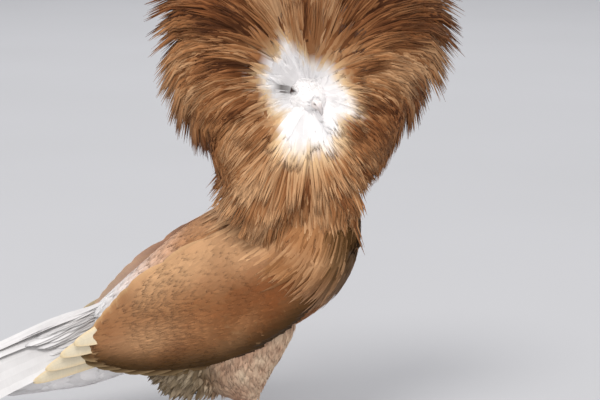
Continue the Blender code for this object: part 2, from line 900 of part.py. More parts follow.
def clear_of_body(point, clearance):
    """The point, pushed out of the torso and the folded wings by the clearance."""
    point = np.array(point)
    centre, along, back, high, low, wide = min(
        BODY_SAMPLES, key=lambda sample: np.linalg.norm(sample[0] - point)
    )
    rel = point - centre
    past = rel @ along
    rel -= along * past
    tall = high if rel @ back > 0 else low
    ratio = math.hypot((rel @ back) / (tall + clearance), rel[1] / (wide + clearance))
    if 0.05 < ratio < 1.0 and past < NECK_TOP_PAST:
        point += rel * (1 / ratio - 1)
    side = 1 if point[1] > 0 else -1
    u, v = wing_uv(point[0], point[2])
    inside = -16 < u < 150 and reading(WING_LOW, u) - 4 < v < reading(WING_TOP, u) + 4
    if inside and abs(point[1]) < wing_half(u, v) + clearance + 1.2:
        point[1] = side * (wing_half(u, v) + clearance + 1.2)
    return point


def around_head():
    """What keeps the ruff off the neck, the head, its eyes and its bill."""
    cutters = [grown_body(), head_egg("grown head", GROWN_GAP)]
    for side in (1, -1):
        space = [LID_RING + LID_THICK + 1.2] * 3
        cutters.append(ball("lid space", eye_centre(side), space, head_axes()))
    cutters.append(ball("bill space", in_head(20.0, 0.0, -4.0), (13.0, 6.0, 7.0), head_axes()))
    return cutters


def ruff_slab(name, start, end, section):
    """A sector of the ruff with one section all along, given as share, layer and lift."""
    rings = []
    for angle in np.linspace(start, end, max(5, int(abs(end - start) / 10))):
        rings.append([ruff_place(angle, share, layer, lift) for share, layer, lift in section])
    return loft(name, rings)


# Sections of the dense roots, as share, layer and lift: they end under half way to the tips.
FACE_ROOTS = (
    (0.12, 1, -1.2), (0.22, 1, -1.2), (0.33, 1, -1.2), (0.42, 1, -2), (0.45, 0.8, 0),
    (0.43, 0.6, 0), (0.33, 0.5, 0.6), (0.22, 0.5, 0.6), (0.12, 0.5, 0.6),
)
BACK_ROOTS = (
    (0.05, 0.5, -0.6), (0.22, 0.5, -0.6), (0.33, 0.5, -0.6), (0.43, 0.4, 0), (0.45, 0.2, 0),
    (0.42, 0, 2), (0.33, 0, 1.2), (0.18, 0, 1.2), (0.05, 0, 1.2),
)


def ruff_lock(angle, layer, stagger, width, reach):
    """A long feather of the ruff, sunk in the roots and lifted clear of its neighbours outside."""
    side = 1 if layer > 0.5 else -1
    left, right = [], []
    halves = half_widths("lock", width, LOCK_STEPS)
    for share, half in zip(np.linspace(LOCK_ROOT, reach, LOCK_STEPS), halves):
        clear = min(max((share - LOCK_ROOT) / LOCK_FREE, 0.0), 1.0)
        lift = stagger * clear - side * LOCK_SUNK * (1 - clear)
        for edge, slip in ((left, -half), (right, half)):
            edge.append(clear_of_body(ruff_place(angle, share, layer, lift, slip), LOCK_CLEAR))
    return vane(left, right, LOCK_THICK)


def ruff_locks(start, end, rows, rng):
    """Rows of locks from one angle to another: each row is layer, count, width and reach."""
    locks = []
    for row, (layer, count, width, reach) in enumerate(rows):
        for k in range(count):
            angle = start + (end - start) * (k + 0.3 + 0.4 * (row % 2)) / count
            stagger = LOCK_STAGGER if k % 2 else -LOCK_STAGGER
            wide = width * rng.uniform(0.95, 1.05)
            locks.append(ruff_lock(angle, layer, stagger, wide, reach * rng.uniform(0.95, 1.02)))
    return locks


def ruff_wedge(start, end):
    """All the space between two partings of the ruff."""
    rings = []
    for share in np.linspace(0.03, 1.3, 7):
        face, back = [], []
        for k, angle in enumerate(np.linspace(start, end, 9)):
            slip = 0.0
            if k in (0, 8):
                slip = math.copysign(GAP / 2 + 0.03, (start + end) / 2 - angle)
            face.append(ruff_place(angle, share, 1, 70.0, slip))
            back.append(ruff_place(angle, share, 0, -70.0, slip))
        rings.append(face + back[::-1])
    return loft("wedge", rings)


def ruff_sector(name, start, end, rows):
    """A part of the ruff's face between two partings: dense roots with rows of locks."""
    rng = random.Random(SEED + int(abs(start)) + (3 if start < 0 else 0))
    pieces = [ruff_slab(name, start, end, FACE_ROOTS)] + ruff_locks(start, end, rows, rng)
    made = fuse(name, pieces)
    combine(made, [ruff_wedge(start, end)], "INTERSECT")
    return carve(made, around_head())


def mane():
    """The rear of the ruff behind the head and neck: a ring of roots with rows of locks."""
    rings = []
    for share, layer, lift in BACK_ROOTS:
        rings.append([ruff_place(-180 + 15 * k, share, layer, lift) for k in range(24)])
    pieces = [loft("mane", rings)] + ruff_locks(-180, 180, MANE_ROWS, random.Random(SEED))
    return carve(fuse("mane", pieces), around_head())


SIDES = {"right": -1, "left": 1}


def build():
    for old in list(bpy.data.objects):
        bpy.data.objects.remove(old)
    finish = {
        "ochre": material("ochre feather", (0.52, 0.27, 0.11), 0.85),
        "white": material("white feather", (0.86, 0.83, 0.80), 0.85),
        "cream": material("cream feather", (0.60, 0.45, 0.34), 0.85),
        "skin": material("leg skin", (0.50, 0.16, 0.12), 0.55),
        "horn": material("horn", (0.45, 0.36, 0.33), 0.4),
        "eye": material("eye", (0.03, 0.02, 0.02), 0.1),
    }
    nodes = [
        (torso(), "ochre"),
        (neck(), "ochre"),
        (head(), "white"),
        (bill_upper(), "horn"),
        (bill_lower(), "horn"),
        (tail(), "white"),
        (mane(), "ochre"),
    ]
    for word, side in SIDES.items():
        nodes += [
            (eye("eye_" + word, side), "eye"),
            (wing("wing_" + word, side), "ochre"),
            (thigh("thigh_" + word, side), "cream"),
            (shank("shank_" + word, side), "skin"),
            (foot("foot_" + word, side), "skin"),
        ]
        for toe, (angle, long) in TOES.items():
            nodes.append((claw(f"claw_{word}_{toe}", side, angle, long), "horn"))
        # The ruff's own right side is the one towards the bird's tail, as its head is turned.
        turn = 1 if word == "left" else -1
        nodes += [
            (ruff_sector("hood_" + word, turn * PARTING, turn * HOOD_END, HOOD_ROWS), "ochre"),
            (ruff_sector("chain_" + word, turn * HOOD_END, turn * (180 - PARTING), CHAIN_ROWS), "ochre"),
        ]
    parts = bpy.data.collections.new("jacobin pigeon")
    bpy.context.scene.collection.children.link(parts)
    for made, slot in nodes:
        made.data.materials.clear()
        made.data.materials.append(finish[slot])
        made.location = Vector(CENTRE_SHIFT * MM)
        for group in list(made.users_collection):
            group.objects.unlink(made)
        parts.objects.link(made)


build()
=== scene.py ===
"""A jacobin pigeon, life size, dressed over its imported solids: one skin, a coat of tufts and vanes,
a ruff of fine locks round the turned head, and horn, lids, eyes and scaly legs.

The bird faces +X, +Z is up and the floor is z = 0. Shapes are worked out in millimetres in the
bird's own frame, which add_mesh moves and scales to metres. Angles of tables are in degrees.
"""

import math

import bpy
import numpy as np
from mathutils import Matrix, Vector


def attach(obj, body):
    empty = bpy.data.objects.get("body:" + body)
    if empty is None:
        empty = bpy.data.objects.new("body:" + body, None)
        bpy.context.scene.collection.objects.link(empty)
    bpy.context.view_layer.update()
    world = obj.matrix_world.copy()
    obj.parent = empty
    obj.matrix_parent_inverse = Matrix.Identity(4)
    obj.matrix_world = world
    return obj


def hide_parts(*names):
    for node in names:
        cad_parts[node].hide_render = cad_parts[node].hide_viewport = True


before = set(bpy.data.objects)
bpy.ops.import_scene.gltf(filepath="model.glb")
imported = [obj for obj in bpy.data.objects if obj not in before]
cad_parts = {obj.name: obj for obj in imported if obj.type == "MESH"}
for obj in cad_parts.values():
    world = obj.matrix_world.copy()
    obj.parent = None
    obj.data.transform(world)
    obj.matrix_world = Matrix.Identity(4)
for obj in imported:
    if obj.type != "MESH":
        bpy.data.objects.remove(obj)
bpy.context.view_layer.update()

MM = 0.001
SHIFT = np.array([46.4, 0.0, 0.0])
UP = np.array([0.0, 0.0, 1.0])
LEFT = np.array([0.0, 1.0, 0.0])
SIDES = {"right": -1, "left": 1}
TAU = 2 * math.pi


# Sizes shared with the solids


# The torso and neck from rump to nape: x, y, z, the station's pitch, and its reach up, down and
# aside. The neck's skin ends at the station NECK_END.
BODY = np.array(
    [
        [-118, 0, 78, 24, 7, 24, 15],
        [-98, 0, 84, 26, 17, 33, 27],
        [-72, 0, 91, 30, 29, 42, 38],
        [-40, 0, 101, 35, 42, 45, 45],
        [-10, 0, 115, 43, 47, 47, 47],
        [12, 0, 131, 57, 46, 42, 43],
        [23, 0, 151, 75, 29, 32, 33],
        [25, 0, 172, 86, 20, 21, 22],
        [24, -1, 192, 90, 14.5, 14.5, 15],
        [20, -4, 214, 96, 12, 12, 12],
        [17, -7, 228, 96, 9, 9, 9],
    ],
    float,
)
NECK_END = 9.9
HEAD_AT = np.array([19.5, -10.0, 227.0])
HEAD_YAW, HEAD_PITCH, HEAD_ROLL = -69.0, -2.0, -15.0
# The skull from its back to the bill: forward, the middle's height, and its reach up, down and aside.
HEAD = np.array(
    [
        [-16, 1.0, 3.0, 3.0, 3.2],
        [-13.5, 0.8, 8.4, 8.0, 8.4],
        [-8, 0.4, 12.2, 12.2, 12.8],
        [-2, 0.0, 14.0, 13.6, 14.6],
        [4, -0.6, 13.2, 12.4, 13.9],
        [9, -1.8, 10.6, 9.2, 10.2],
        [12.5, -2.8, 7.8, 6.6, 6.6],
        [15, -3.2, 5.0, 4.6, 4.2],
    ],
    float,
)
EYE_AT = (4.6, 1.6)
EYE_RADIUS = 3.7
EYE_PROUD = 1.2
# The bill in the head's own axes: forward, the middle's height, half height and half width.
BILL = np.array(
    [
        [13.4, -2.9, 3.0, 3.1],
        [17, -3.0, 2.7, 2.7],
        [20.5, -3.5, 2.3, 2.1],
        [23.6, -4.6, 1.9, 1.5],
        [25.8, -6.0, 1.4, 1.0],
        [26.8, -7.6, 0.7, 0.5],
    ],
    float,
)
SHOULDER = np.array([38.0, 126.0])
WING_REAR = np.array([-124.0, 66.0])
# Along the wing by u, back from the shoulder: half the width between both wings, and the edges' v.
WING_HALF = np.array(
    [[-10, 33], [20, 48], [55, 54], [90, 52], [120, 46], [150, 39.5], [180, 36], [215, 37]], float
)
WING_LOW = np.array([[-9, 6], [4, -8], [25, -22], [60, -34.6], [88, -37.6], [130, -32]], float)
WING_TOP = np.array([[-9, 12], [5, 27], [30, 41], [60, 45], [90, 39], [130, 25]], float)
WING_CROWN = 0.0115
WING_THICK = 8.0
WING_PAD_END = 118.0
TAIL_ROOT = np.array([-97.0, 0.0, 97.0])
TAIL_PITCH, TAIL_LENGTH, TAIL_FAN, TAIL_STEP, TAIL_PAIRS = -19.0, 126.0, 21.0, 1.45, 6
RUFF_AT = np.array([20.0, -4.0, 228.0])
RUFF_YAW, RUFF_TURN, RUFF_BEND, RUFF_CURL = -94.0, 17.0, 46.0, 2.0
# How far the ruff reaches at each angle, then by the share of that: how far out a feather has gone,
# and how deep the ruff's face and back are, where it spreads and where it hangs.
RUFF_REACH = np.array(
    [
        [-180, 86], [-168, 82], [-152, 77], [-138, 74], [-122, 69], [-106, 79], [-88, 86], [-71, 96],
        [-56, 111], [-36, 121], [-16, 113], [0, 95], [16, 112], [36, 122], [58, 114], [72, 102],
        [86, 88], [101, 75], [118, 68], [140, 70], [151, 80], [163, 90], [174, 90], [180, 86],
    ],
    float,
)
RUFF_OUT = np.array(
    [[0, 0], [0.12, 0.13], [0.3, 0.35], [0.5, 0.6], [0.7, 0.81], [0.85, 0.93], [1, 1], [1.1, 1.1], [1.2, 1.2]]
)
SPREAD_FACE = np.array([[0, 6], [0.12, 9], [0.3, 22], [0.5, 31], [0.7, 31], [0.85, 24], [1, 9]], float)
SPREAD_BACK = np.array(
    [[0, -16], [0.12, -17], [0.3, -23], [0.5, -28], [0.7, -28], [0.85, -22], [1, -10]], float
)
HANG_FACE = np.array([[0, 13], [0.12, 17], [0.3, 24], [0.5, 32], [0.7, 38], [1, 43]], float)
HANG_BACK = np.array([[0, -17], [0.12, -20], [0.3, -30], [0.5, -37], [0.7, -41], [1, -44]], float)
HOOD_END = 66.0
LEG_SPREAD = 21.0
ANKLE = np.array([-18.5, 0.0, 29.0])
FOOT = np.array([-14.0, 0.0, 5.0])
SHANK_RADIUS = 2.7
TOE_RADIUS = 2.5
TOES = {"inner": (-28.0, 25.0), "middle": (4.0, 32.0), "outer": (34.0, 26.0), "hind": (176.0, 17.0)}
CLAW_LENGTH = 8.0
# The thigh downwards: x, how far out of the leg's own plane, z, and its reach ahead and aside.
THIGH = np.array(
    [
        [-22, 0, 82, 33, 17.8],
        [-23, 1, 69, 33, 16.8],
        [-25, 1, 56, 29, 15.5],
        [-25, 0.5, 44, 21, 12.5],
        [-22, 0, 35, 12, 8.5],
        [-18.7, 0, 29.0, 5.0, 4.6],
    ],
    float,
)


# Curves and directions


def grid(first, second):
    """Two arrays of the numbers in first down the rows and those in second across them."""
    return np.meshgrid(first, second, indexing="ij")


def turns(count):
    """Angles of count even steps round a circle, from 0."""
    return np.arange(count) * TAU / count


def linear(red, green, blue):
    """A linear colour from one in sRGB of 0 to 255: c/12.92 below 0.04045, else ((c+0.055)/1.055)^2.4."""
    c = np.array([red, green, blue], float) / 255
    return np.where(c < 0.04045, c / 12.92, ((c + 0.055) / 1.055) ** 2.4)


def unit(vector):
    """Vectors divided by their lengths."""
    return vector / np.maximum(np.linalg.norm(vector, axis=-1, keepdims=True), 1e-9)


def step(value, low, high):
    """0 below low, 1 above high, and 3t^2-2t^3 between them."""
    t = np.clip((np.asarray(value, float) - low) / (high - low), 0, 1)
    return t * t * (3 - 2 * t)


def mix(a, b, share):
    """a where share is 0, b where it is 1, along the last axis."""
    share = np.asarray(share, float)[..., None]
    return a * (1 - share) + b * share


def smooth_rows(table, at):
    """Rows of a table at fractional row numbers, on a Catmull-Rom curve through the rows."""
    at = np.clip(np.asarray(at, float), 0, len(table) - 1.0)
    low = np.minimum(at.astype(int), len(table) - 2)
    part = (at - low)[..., None]
    a, b, c, d = (table[np.clip(low + k, 0, len(table) - 1)] for k in (-1, 0, 1, 2))
    return b + 0.5 * part * (c - a + part * (2 * a - 5 * b + 4 * c - d + part * (3 * (b - c) + d - a)))


def reading(table, key):
    """The second column of a table at key, on the same curve, with key found in the first."""
    return smooth_rows(table, np.interp(key, table[:, 0], np.arange(len(table))))[..., 1]


def heading(yaw, pitch=0.0):
    """The direction at that yaw from +X and that pitch above level."""
    yaw, pitch = math.radians(yaw), math.radians(pitch)
    return np.array(
        [math.cos(yaw) * math.cos(pitch), math.sin(yaw) * math.cos(pitch), math.sin(pitch)]
    )


def facing(normals, way):
    """Normals turned round where they point away from way."""
    return np.where(((normals * way).sum(-1) > 0)[..., None], normals, -normals)


def ripple(points, size, seed, octaves=3):
    """Smooth noise of about -1 to 1: sines of the place in directions drawn from seed, each octave finer."""
    rng = np.random.default_rng(seed)
    total = np.zeros(points.shape[:-1])
    for k in range(octaves):
        for _ in range(4):
            wave = unit(rng.normal(size=3)) * TAU / (size / 1.9**k) * rng.uniform(0.7, 1.3)
            total += np.sin(points @ wave + rng.uniform(0, TAU)) * 0.6**k
    return total / 4.2


# Meshes


def add_mesh(name, points, faces, finish, plume=None, vane=None, bake=None, rim=None):
    """A mesh object from points in millimetres and a list of face arrays, each with its own number of
    corners. plume is a colour for each point, vane the place within a feather, bake the point's place
    on the unwrap, and rim a side's number where the edges between two such points stay sharp."""
    points = np.asarray(points, float).reshape(-1, 3)
    corners = np.concatenate([f.reshape(-1) for f in faces]).astype(np.int32)
    sizes = np.concatenate([np.full(len(f), f.shape[1]) for f in faces])
    starts = np.concatenate([[0], np.cumsum(sizes)[:-1]]).astype(np.int32)
    mesh = bpy.data.meshes.new(name)
    mesh.vertices.add(len(points))
    mesh.vertices.foreach_set("co", ((points + SHIFT) * MM).astype(np.float32).ravel())
    mesh.loops.add(len(corners))
    mesh.loops.foreach_set("vertex_index", corners)
    mesh.polygons.add(len(starts))
    mesh.polygons.foreach_set("loop_start", starts)
    mesh.polygons.foreach_set("use_smooth", np.ones(len(starts), bool))
    mesh.update(calc_edges=True)
    if plume is not None:
        rgba = np.ones((len(points), 4), np.float32)
        rgba[:, :3] = np.clip(plume.reshape(-1, 3), 0, 1)
        mesh.attributes.new("plume", "FLOAT_COLOR", "POINT").data.foreach_set("color", rgba.ravel())
    if vane is not None:
        held = mesh.attributes.new("vane", "FLOAT_VECTOR", "POINT")
        held.data.foreach_set("vector", vane.astype(np.float32).ravel())
    if bake is not None:
        layer = mesh.uv_layers.new(name="OFBake")
        layer.data.foreach_set("uv", bake.reshape(-1, 2)[corners].astype(np.float32).ravel())
    if rim is not None:
        ends = np.empty(len(mesh.edges) * 2, np.int32)
        mesh.edges.foreach_get("vertices", ends)
        side = rim.reshape(-1)[ends.reshape(-1, 2)]
        sharp = (side[:, 0] == side[:, 1]) & (side[:, 0] > 0)
        mesh.attributes.new("sharp_edge", "BOOLEAN", "EDGE").data.foreach_set("value", sharp)
    made = bpy.data.objects.new(name, mesh)
    bpy.context.scene.collection.objects.link(made)
    mesh.materials.append(finish)
    return made


def swept_faces(count, stations, sides):
    """Faces of count tubes, each of stations rings of sides points: the quads between one ring and the
    next, and a cap at each end."""
    i, j = grid(np.arange(stations - 1), np.arange(sides))
    k = (j + 1) % sides
    quad = np.stack([i * sides + j, i * sides + k, (i + 1) * sides + k, (i + 1) * sides + j], -1)
    offset = np.arange(count)[:, None, None] * stations * sides
    ring = np.arange(sides)
    root = ring[::-1][None] + offset[:, 0]
    tip = ring[None] + (stations - 1) * sides + offset[:, 0]
    return [(quad.reshape(1, -1, 4) + offset).reshape(-1, 4), np.concatenate([root, tip])]


def band_faces(rows, sides, closed=True):
    """Quads between rows of sides points. Each row is a closed loop, and when closed the last row
    joins the first."""
    i, j = grid(np.arange(rows if closed else rows - 1), np.arange(sides))
    n, k = (i + 1) % rows, (j + 1) % sides
    return np.stack([i * sides + j, n * sides + j, n * sides + k, i * sides + k], -1).reshape(-1, 4)


# Each point across a feather's ring: its place from -1 to 1, and whether it is above or below.
TUFT_RING = np.array([[-1, 0], [0, 1], [1, 0]], float)
VANE_RING = np.array([[-1, 0], [-0.55, 1], [0, 1], [0.55, 1], [1, 0], [0.5, -1], [0, -1], [-0.5, -1]], float)


def feathers(name, paths, normals, half, finish, plume, roots, ring, crown, thick=0.0, seed=0):
    """Many feathers as one mesh. Each path of K points carries a ring of points: across the path by the
    half width, above it by crown*(1-t^2), and below it by thick. plume is a colour for each path
    point, or for each ring point, and roots is each feather's place on the unwrap."""
    count, stations = paths.shape[:2]
    along = np.gradient(paths, axis=1)
    across = unit(np.cross(along, normals))
    over = unit(np.cross(across, along))
    t, level = ring[:, 0], ring[:, 1]
    rise = np.where(level > 0, 1 - t**2, 0)[None, None] * crown[..., None]
    rise = rise + np.where(level < 0, -1, np.where(level > 0, 0.4, 0)) * thick
    rise = rise * np.minimum(1, half / (0.35 * half.max(axis=1, keepdims=True)))[..., None]
    points = (
        paths[:, :, None]
        + across[:, :, None] * (t[None, None, :, None] * half[..., None, None])
        + over[:, :, None] * rise[..., None]
    )
    sides = len(ring)
    shape = (count, stations, sides)
    length = np.linalg.norm(along, axis=-1).cumsum(axis=1)
    draw = np.random.default_rng(seed).random((count, 1, 1))
    vane = np.stack(
        [np.broadcast_to(t, shape), np.broadcast_to(length[..., None], shape), np.broadcast_to(draw, shape)],
        -1,
    )
    if plume.ndim == 3:
        plume = np.broadcast_to(plume[:, :, None], shape + (3,))
    share = np.linspace(0, 1, stations)[None, :, None]
    patch = np.stack([np.broadcast_to(t / 2, shape), np.broadcast_to(share - 0.5, shape)], -1) * 0.003
    bake = roots[:, None, None] + patch
    rim = np.broadcast_to(np.where(t == -1, 1, np.where(t == 1, 2, 0)), shape)
    faces = swept_faces(count, stations, sides)
    return add_mesh(name, points, faces, finish, plume, vane.reshape(-1, 3), bake, rim)


def tuft_width(share, fullest=0.45, root=0.6):
    """Width of a hair-like tuft along it: root at its base, 1 at its fullest, 0.05 at its tip."""
    rise = root + (1 - root) * step(share, 0, fullest)
    return rise * np.sqrt(np.clip(1 - ((share - fullest) / (1.001 - fullest)).clip(0) ** 2.2, 0.0025, 1))


def vane_width(share, round_from=0.6, root=0.35, power=2.6):
    """Width of a broad feather along it: narrow at its quill, full, then a rounded tip."""
    rise = root + (1 - root) * step(share, 0, 0.4)
    tip = ((share - round_from) / (1.001 - round_from)).clip(0)
    return rise * np.sqrt(np.clip(1 - tip**power, 0.01, 1))


# Body, wings, tail, head and ruff as surfaces


def body_point(at, turn, lift=0.0):
    """The body's skin: at a station, an oval round the spine's slanted cross-section, raised by lift."""
    rows = smooth_rows(BODY, at)
    pitch = np.radians(rows[..., 3])
    back = np.stack([-np.sin(pitch), np.zeros_like(pitch), np.cos(pitch)], -1)
    tall = (np.where(np.cos(turn) > 0, rows[..., 4], rows[..., 5]) + lift) * np.cos(turn)
    wide = (rows[..., 6] + lift) * np.sin(turn)
    return rows[..., :3] + back * tall[..., None] + LEFT * wide[..., None]


def slope(surface, a, b, da, db):
    """The normal of a surface of two numbers: the cross product of its steps along each."""
    first = surface(a + da, b) - surface(a - da, b)
    second = surface(a, b + db) - surface(a, b - db)
    return unit(np.cross(first, second))


def head_axes():
    """Forward, left and up of the head, from its yaw, pitch and roll."""
    forward = heading(HEAD_YAW, HEAD_PITCH)
    level = unit(np.cross(UP, forward))
    crown = np.cross(forward, level)
    roll = math.radians(HEAD_ROLL)
    left = level * math.cos(roll) + crown * math.sin(roll)
    return np.array([forward, left, np.cross(forward, left)])


def in_head(along, left, up):
    """A place in the head's own axes, in the bird's frame."""
    return HEAD_AT + np.stack(np.broadcast_arrays(along, left, up), -1) @ head_axes()


def head_point(at, turn, lift=0.0):
    """The skull: an egg of ovals from the back of the head to the bill, raised by lift."""
    along, middle, high, low, wide = np.moveaxis(smooth_rows(HEAD, at), -1, 0)
    reach = np.where(np.cos(turn) > 0, high, low) + lift
    return in_head(along, (wide + lift) * np.sin(turn), middle + reach * np.cos(turn))


def wing_axes():
    """Unit vectors in x and z: back from the shoulder along the folded wing, and square to it, up."""
    back = unit(WING_REAR - SHOULDER)
    return back, np.array([back[1], -back[0]])


def wing_point(side, u, v, lift=0.0):
    """The wing's outer face: u back from the shoulder, v up, and y out by its half width less a crown
    of v^2, raised by lift."""
    back, above = wing_axes()
    flat = SHOULDER + back * u[..., None] + above * v[..., None]
    out = side * (reading(WING_HALF, u) - WING_CROWN * v * v + lift)
    return np.stack([flat[..., 0], out, flat[..., 1]], -1)


def wing_uv(points):
    """u and v of places in the bird's frame."""
    back, above = wing_axes()
    flat = points[..., [0, 2]] - SHOULDER
    return flat @ back, flat @ above


def tail_point(fan, far, drop):
    """A point far along a tail feather at that fan angle, lowered by drop and sagging with far^2."""
    down = heading(0.0, TAIL_PITCH)
    back, above = np.array([-down[0], 0.0, down[2]]), np.array([down[2], 0.0, down[0]])
    turn = np.radians(fan)[..., None]
    reach = back * np.cos(turn) + LEFT * np.sin(turn)
    sag = 6.0 * (far / TAIL_LENGTH) ** 2
    return TAIL_ROOT + reach * far[..., None] - above * (drop + sag)[..., None]


def ruff_axes():
    """Across the ruff's face towards the breast, and out of its face."""
    out = heading(RUFF_YAW)
    return np.array([-out[1], out[0], 0.0]), out


def ruff_place(angle, share, layer, lift=0.0, slip=0.0):
    """A point on the lie of the ruff. angle is where the feather leaves the head, 0 up and + towards
    the breast. It curls down by the bend as share to the power of the curl, and the bend is a half
    sine from 4 degrees off the top to 135. layer is 1 on the face and 0 on the back, lift goes out of
    the face and slip goes round it."""
    span = np.clip((np.abs(angle) - 4.0) / 131.0, 0, 1)
    bend = np.copysign(RUFF_BEND * np.sin(math.pi * span), angle)
    far = reading(RUFF_REACH, np.clip(angle + bend, -180, 180)) * reading(RUFF_OUT, share)
    here = angle + bend * share**RUFF_CURL + np.degrees(slip / np.maximum(far, 1.0))
    low = step(np.abs(here), 118.0, 160.0)
    face = (1 - low) * reading(SPREAD_FACE, share) + low * reading(HANG_FACE, share)
    back = (1 - low) * reading(SPREAD_BACK, share) + low * reading(HANG_BACK, share)
    depth = back + (face - back) * layer + lift
    turn = np.radians(here)
    x, z = far * np.sin(turn), far * np.cos(turn)
    across, out = ruff_axes()
    depth = depth - math.tan(math.radians(RUFF_TURN)) * x
    return RUFF_AT + across * x[..., None] + UP * z[..., None] + out * depth[..., None]


SPINE = smooth_rows(BODY, np.linspace(0, NECK_END, 90))


def settle(points, clearance, weight):
    """Points pushed out of the torso's ovals and the folded wings to clearance above them. Those up to
    6 mm above that are drawn down to it by the share weight, which fades to none at 18 mm."""
    shape = points.shape
    points = points.reshape(-1, 3).copy()
    weight = np.broadcast_to(weight, shape[:-1]).reshape(-1)
    batches = np.array_split(points, max(1, len(points) // 20000))
    nearest = np.concatenate(
        [np.argmin(((some[:, None] - SPINE[None, :, :3]) ** 2).sum(-1), axis=1) for some in batches]
    )
    rows = SPINE[nearest]
    pitch = np.radians(rows[:, 3])
    level = np.zeros_like(pitch)
    along = np.stack([np.cos(pitch), level, np.sin(pitch)], -1)
    back = np.stack([-np.sin(pitch), level, np.cos(pitch)], -1)
    rel = points - rows[:, :3]
    past = (rel * along).sum(-1)
    rel = rel - along * past[:, None]
    up = (rel * back).sum(-1)
    tall = np.where(up > 0, rows[:, 4], rows[:, 5])
    ratio = np.maximum(np.hypot(up / (tall + clearance), rel[:, 1] / (rows[:, 6] + clearance)), 0.05)
    above = np.linalg.norm(rel, axis=1) * (1 - 1 / ratio)
    pull = np.where(ratio < 1, 1.0, weight * (1 - step(above, 6, 18))) * (past < 2.0)
    points = points + ((1 / ratio - 1) * pull)[:, None] * rel
    side = np.where(points[:, 1] > 0, 1.0, -1.0)
    u, v = wing_uv(points)
    inside = (u > -16) & (u < 150) & (v > reading(WING_LOW, u) - 4) & (v < reading(WING_TOP, u) + 4)
    wall = reading(WING_HALF, u) - WING_CROWN * v * v + clearance + 1.2
    out = np.abs(points[:, 1])
    held = np.where(out < wall, wall, out + (wall - out) * weight * (1 - step(out - wall, 6, 18)))
    points[:, 1] = np.where(inside, side * held, points[:, 1])
    return points.reshape(shape)


# Colours, in linear light: the plumage, the bill, eyes, legs and claws, and the floor


OCHRE = linear(158, 110, 70)
RUST = linear(122, 72, 38)
TAN = linear(196, 154, 114)
HONEY = linear(216, 182, 138)
# Painted shade: a deep brown for the gaps between locks, their sunk roots, the down under the ruff and the
# slits on the wing.
SHADOW_BROWN = linear(52, 26, 10)
# Painted shade: an umber for the wing's lower edge and the shaded side of the breast.
UMBER_SHADE = linear(62, 42, 12)
# Painted shade: a dull olive for the vent and the low body, with a painted green reflection from below.
OLIVE_SHADE = linear(78, 65, 36)
CREAM = linear(232, 210, 180)
BLUSH = linear(186, 148, 122)
WHITE = linear(238, 235, 234)
GREY = linear(190, 186, 186)
# Painted shadow: a smoky grey for the shadows within the white face.
SHADOW_SMOKE = linear(70, 62, 56)
# Painted light: a pale rose that brightens the far wing, which lies in shade.
BUFF = linear(228, 198, 148)
ROSE_PAINTED_LIGHT = linear(236, 206, 186)
STRAW = linear(208, 186, 152)
IVORY = linear(205, 196, 174)
SAND = linear(210, 186, 140)
# The nostril's near black is painted shade in its opening.
PALE_HORN, GREY_HORN, CERE, NOSTRIL_SHADE = (
    linear(228, 220, 218), linear(172, 166, 166), linear(242, 238, 236), linear(48, 34, 32)
)
LID_EDGE, LID_SKIN = linear(96, 88, 84), linear(232, 228, 226)
PUPIL, IRIS_SHADE, IRIS_LIGHT, IRIS_RIM = (
    np.full(3, 0.004), linear(34, 16, 12), linear(74, 40, 28), np.array([0.01, 0.008, 0.008])
)
LEG_RED, LEG_CREASE = linear(164, 62, 52), linear(112, 44, 42)
CLAW_ROOT, CLAW_TIP = linear(150, 128, 120), linear(64, 50, 46)
FLOOR_SHADE, FLOOR_LIGHT = linear(167, 167, 169), linear(173, 173, 176)
# The tail lies open to the key light, so its whites are multiplied by this.
TAIL_TONE = 0.64


def body_colour(points):
    """Ochre breast and back, blush cream belly and thighs, an olive vent whose darkness is painted shade, and
    a rump that goes from blush to white, with soft mottling."""
    x, z = points[..., 0], points[..., 2]
    wave = ripple(points, 42, 3)
    base = mix(OCHRE, RUST, np.clip(0.35 + 0.5 * wave, 0, 1))
    base = mix(base, TAN, 0.45 * step(z, 120, 160) * np.clip(0.5 + wave, 0, 1))
    belly = 1 - step(z + 5 * wave + 0.12 * x, 78, 96)
    pale = mix(BLUSH, CREAM, np.clip(0.25 + 0.6 * ripple(points, 30, 4), 0, 1))
    base = mix(base, pale, belly)
    vent = (1 - step(z + 4 * wave, 50, 70)) * (1 - step(x, -54, -26)) * step(x, -104, -88)
    base = mix(base, OLIVE_SHADE, 0.85 * vent)
    rump = (1 - step(x + 4 * wave - 0.2 * (z - 100), -78, -52)) * (1 - vent)
    return mix(base, mix(BLUSH, WHITE * 0.72, step(-x, 66, 106)), rump)


# How far from the middle of the ruff its feathers are white, and how wide the change to ochre is.
WHITE_EDGE = np.array(
    [
        [-180, 25], [-160, 27], [-144, 24], [-130, 13], [-112, 16], [-98, 17], [-84, 18.5], [-70, 25],
        [-60, 28], [-45, 27], [-20, 33], [0, 20], [22, 18], [52, 18], [78, 20], [95, 24], [110, 26],
        [124, 21], [140, 27], [160, 27], [180, 25],
    ],
    float,
)
FADE = np.array([[-180, 26], [-150, 20], [-120, 13], [0, 14], [120, 14], [150, 20], [180, 26]], float)
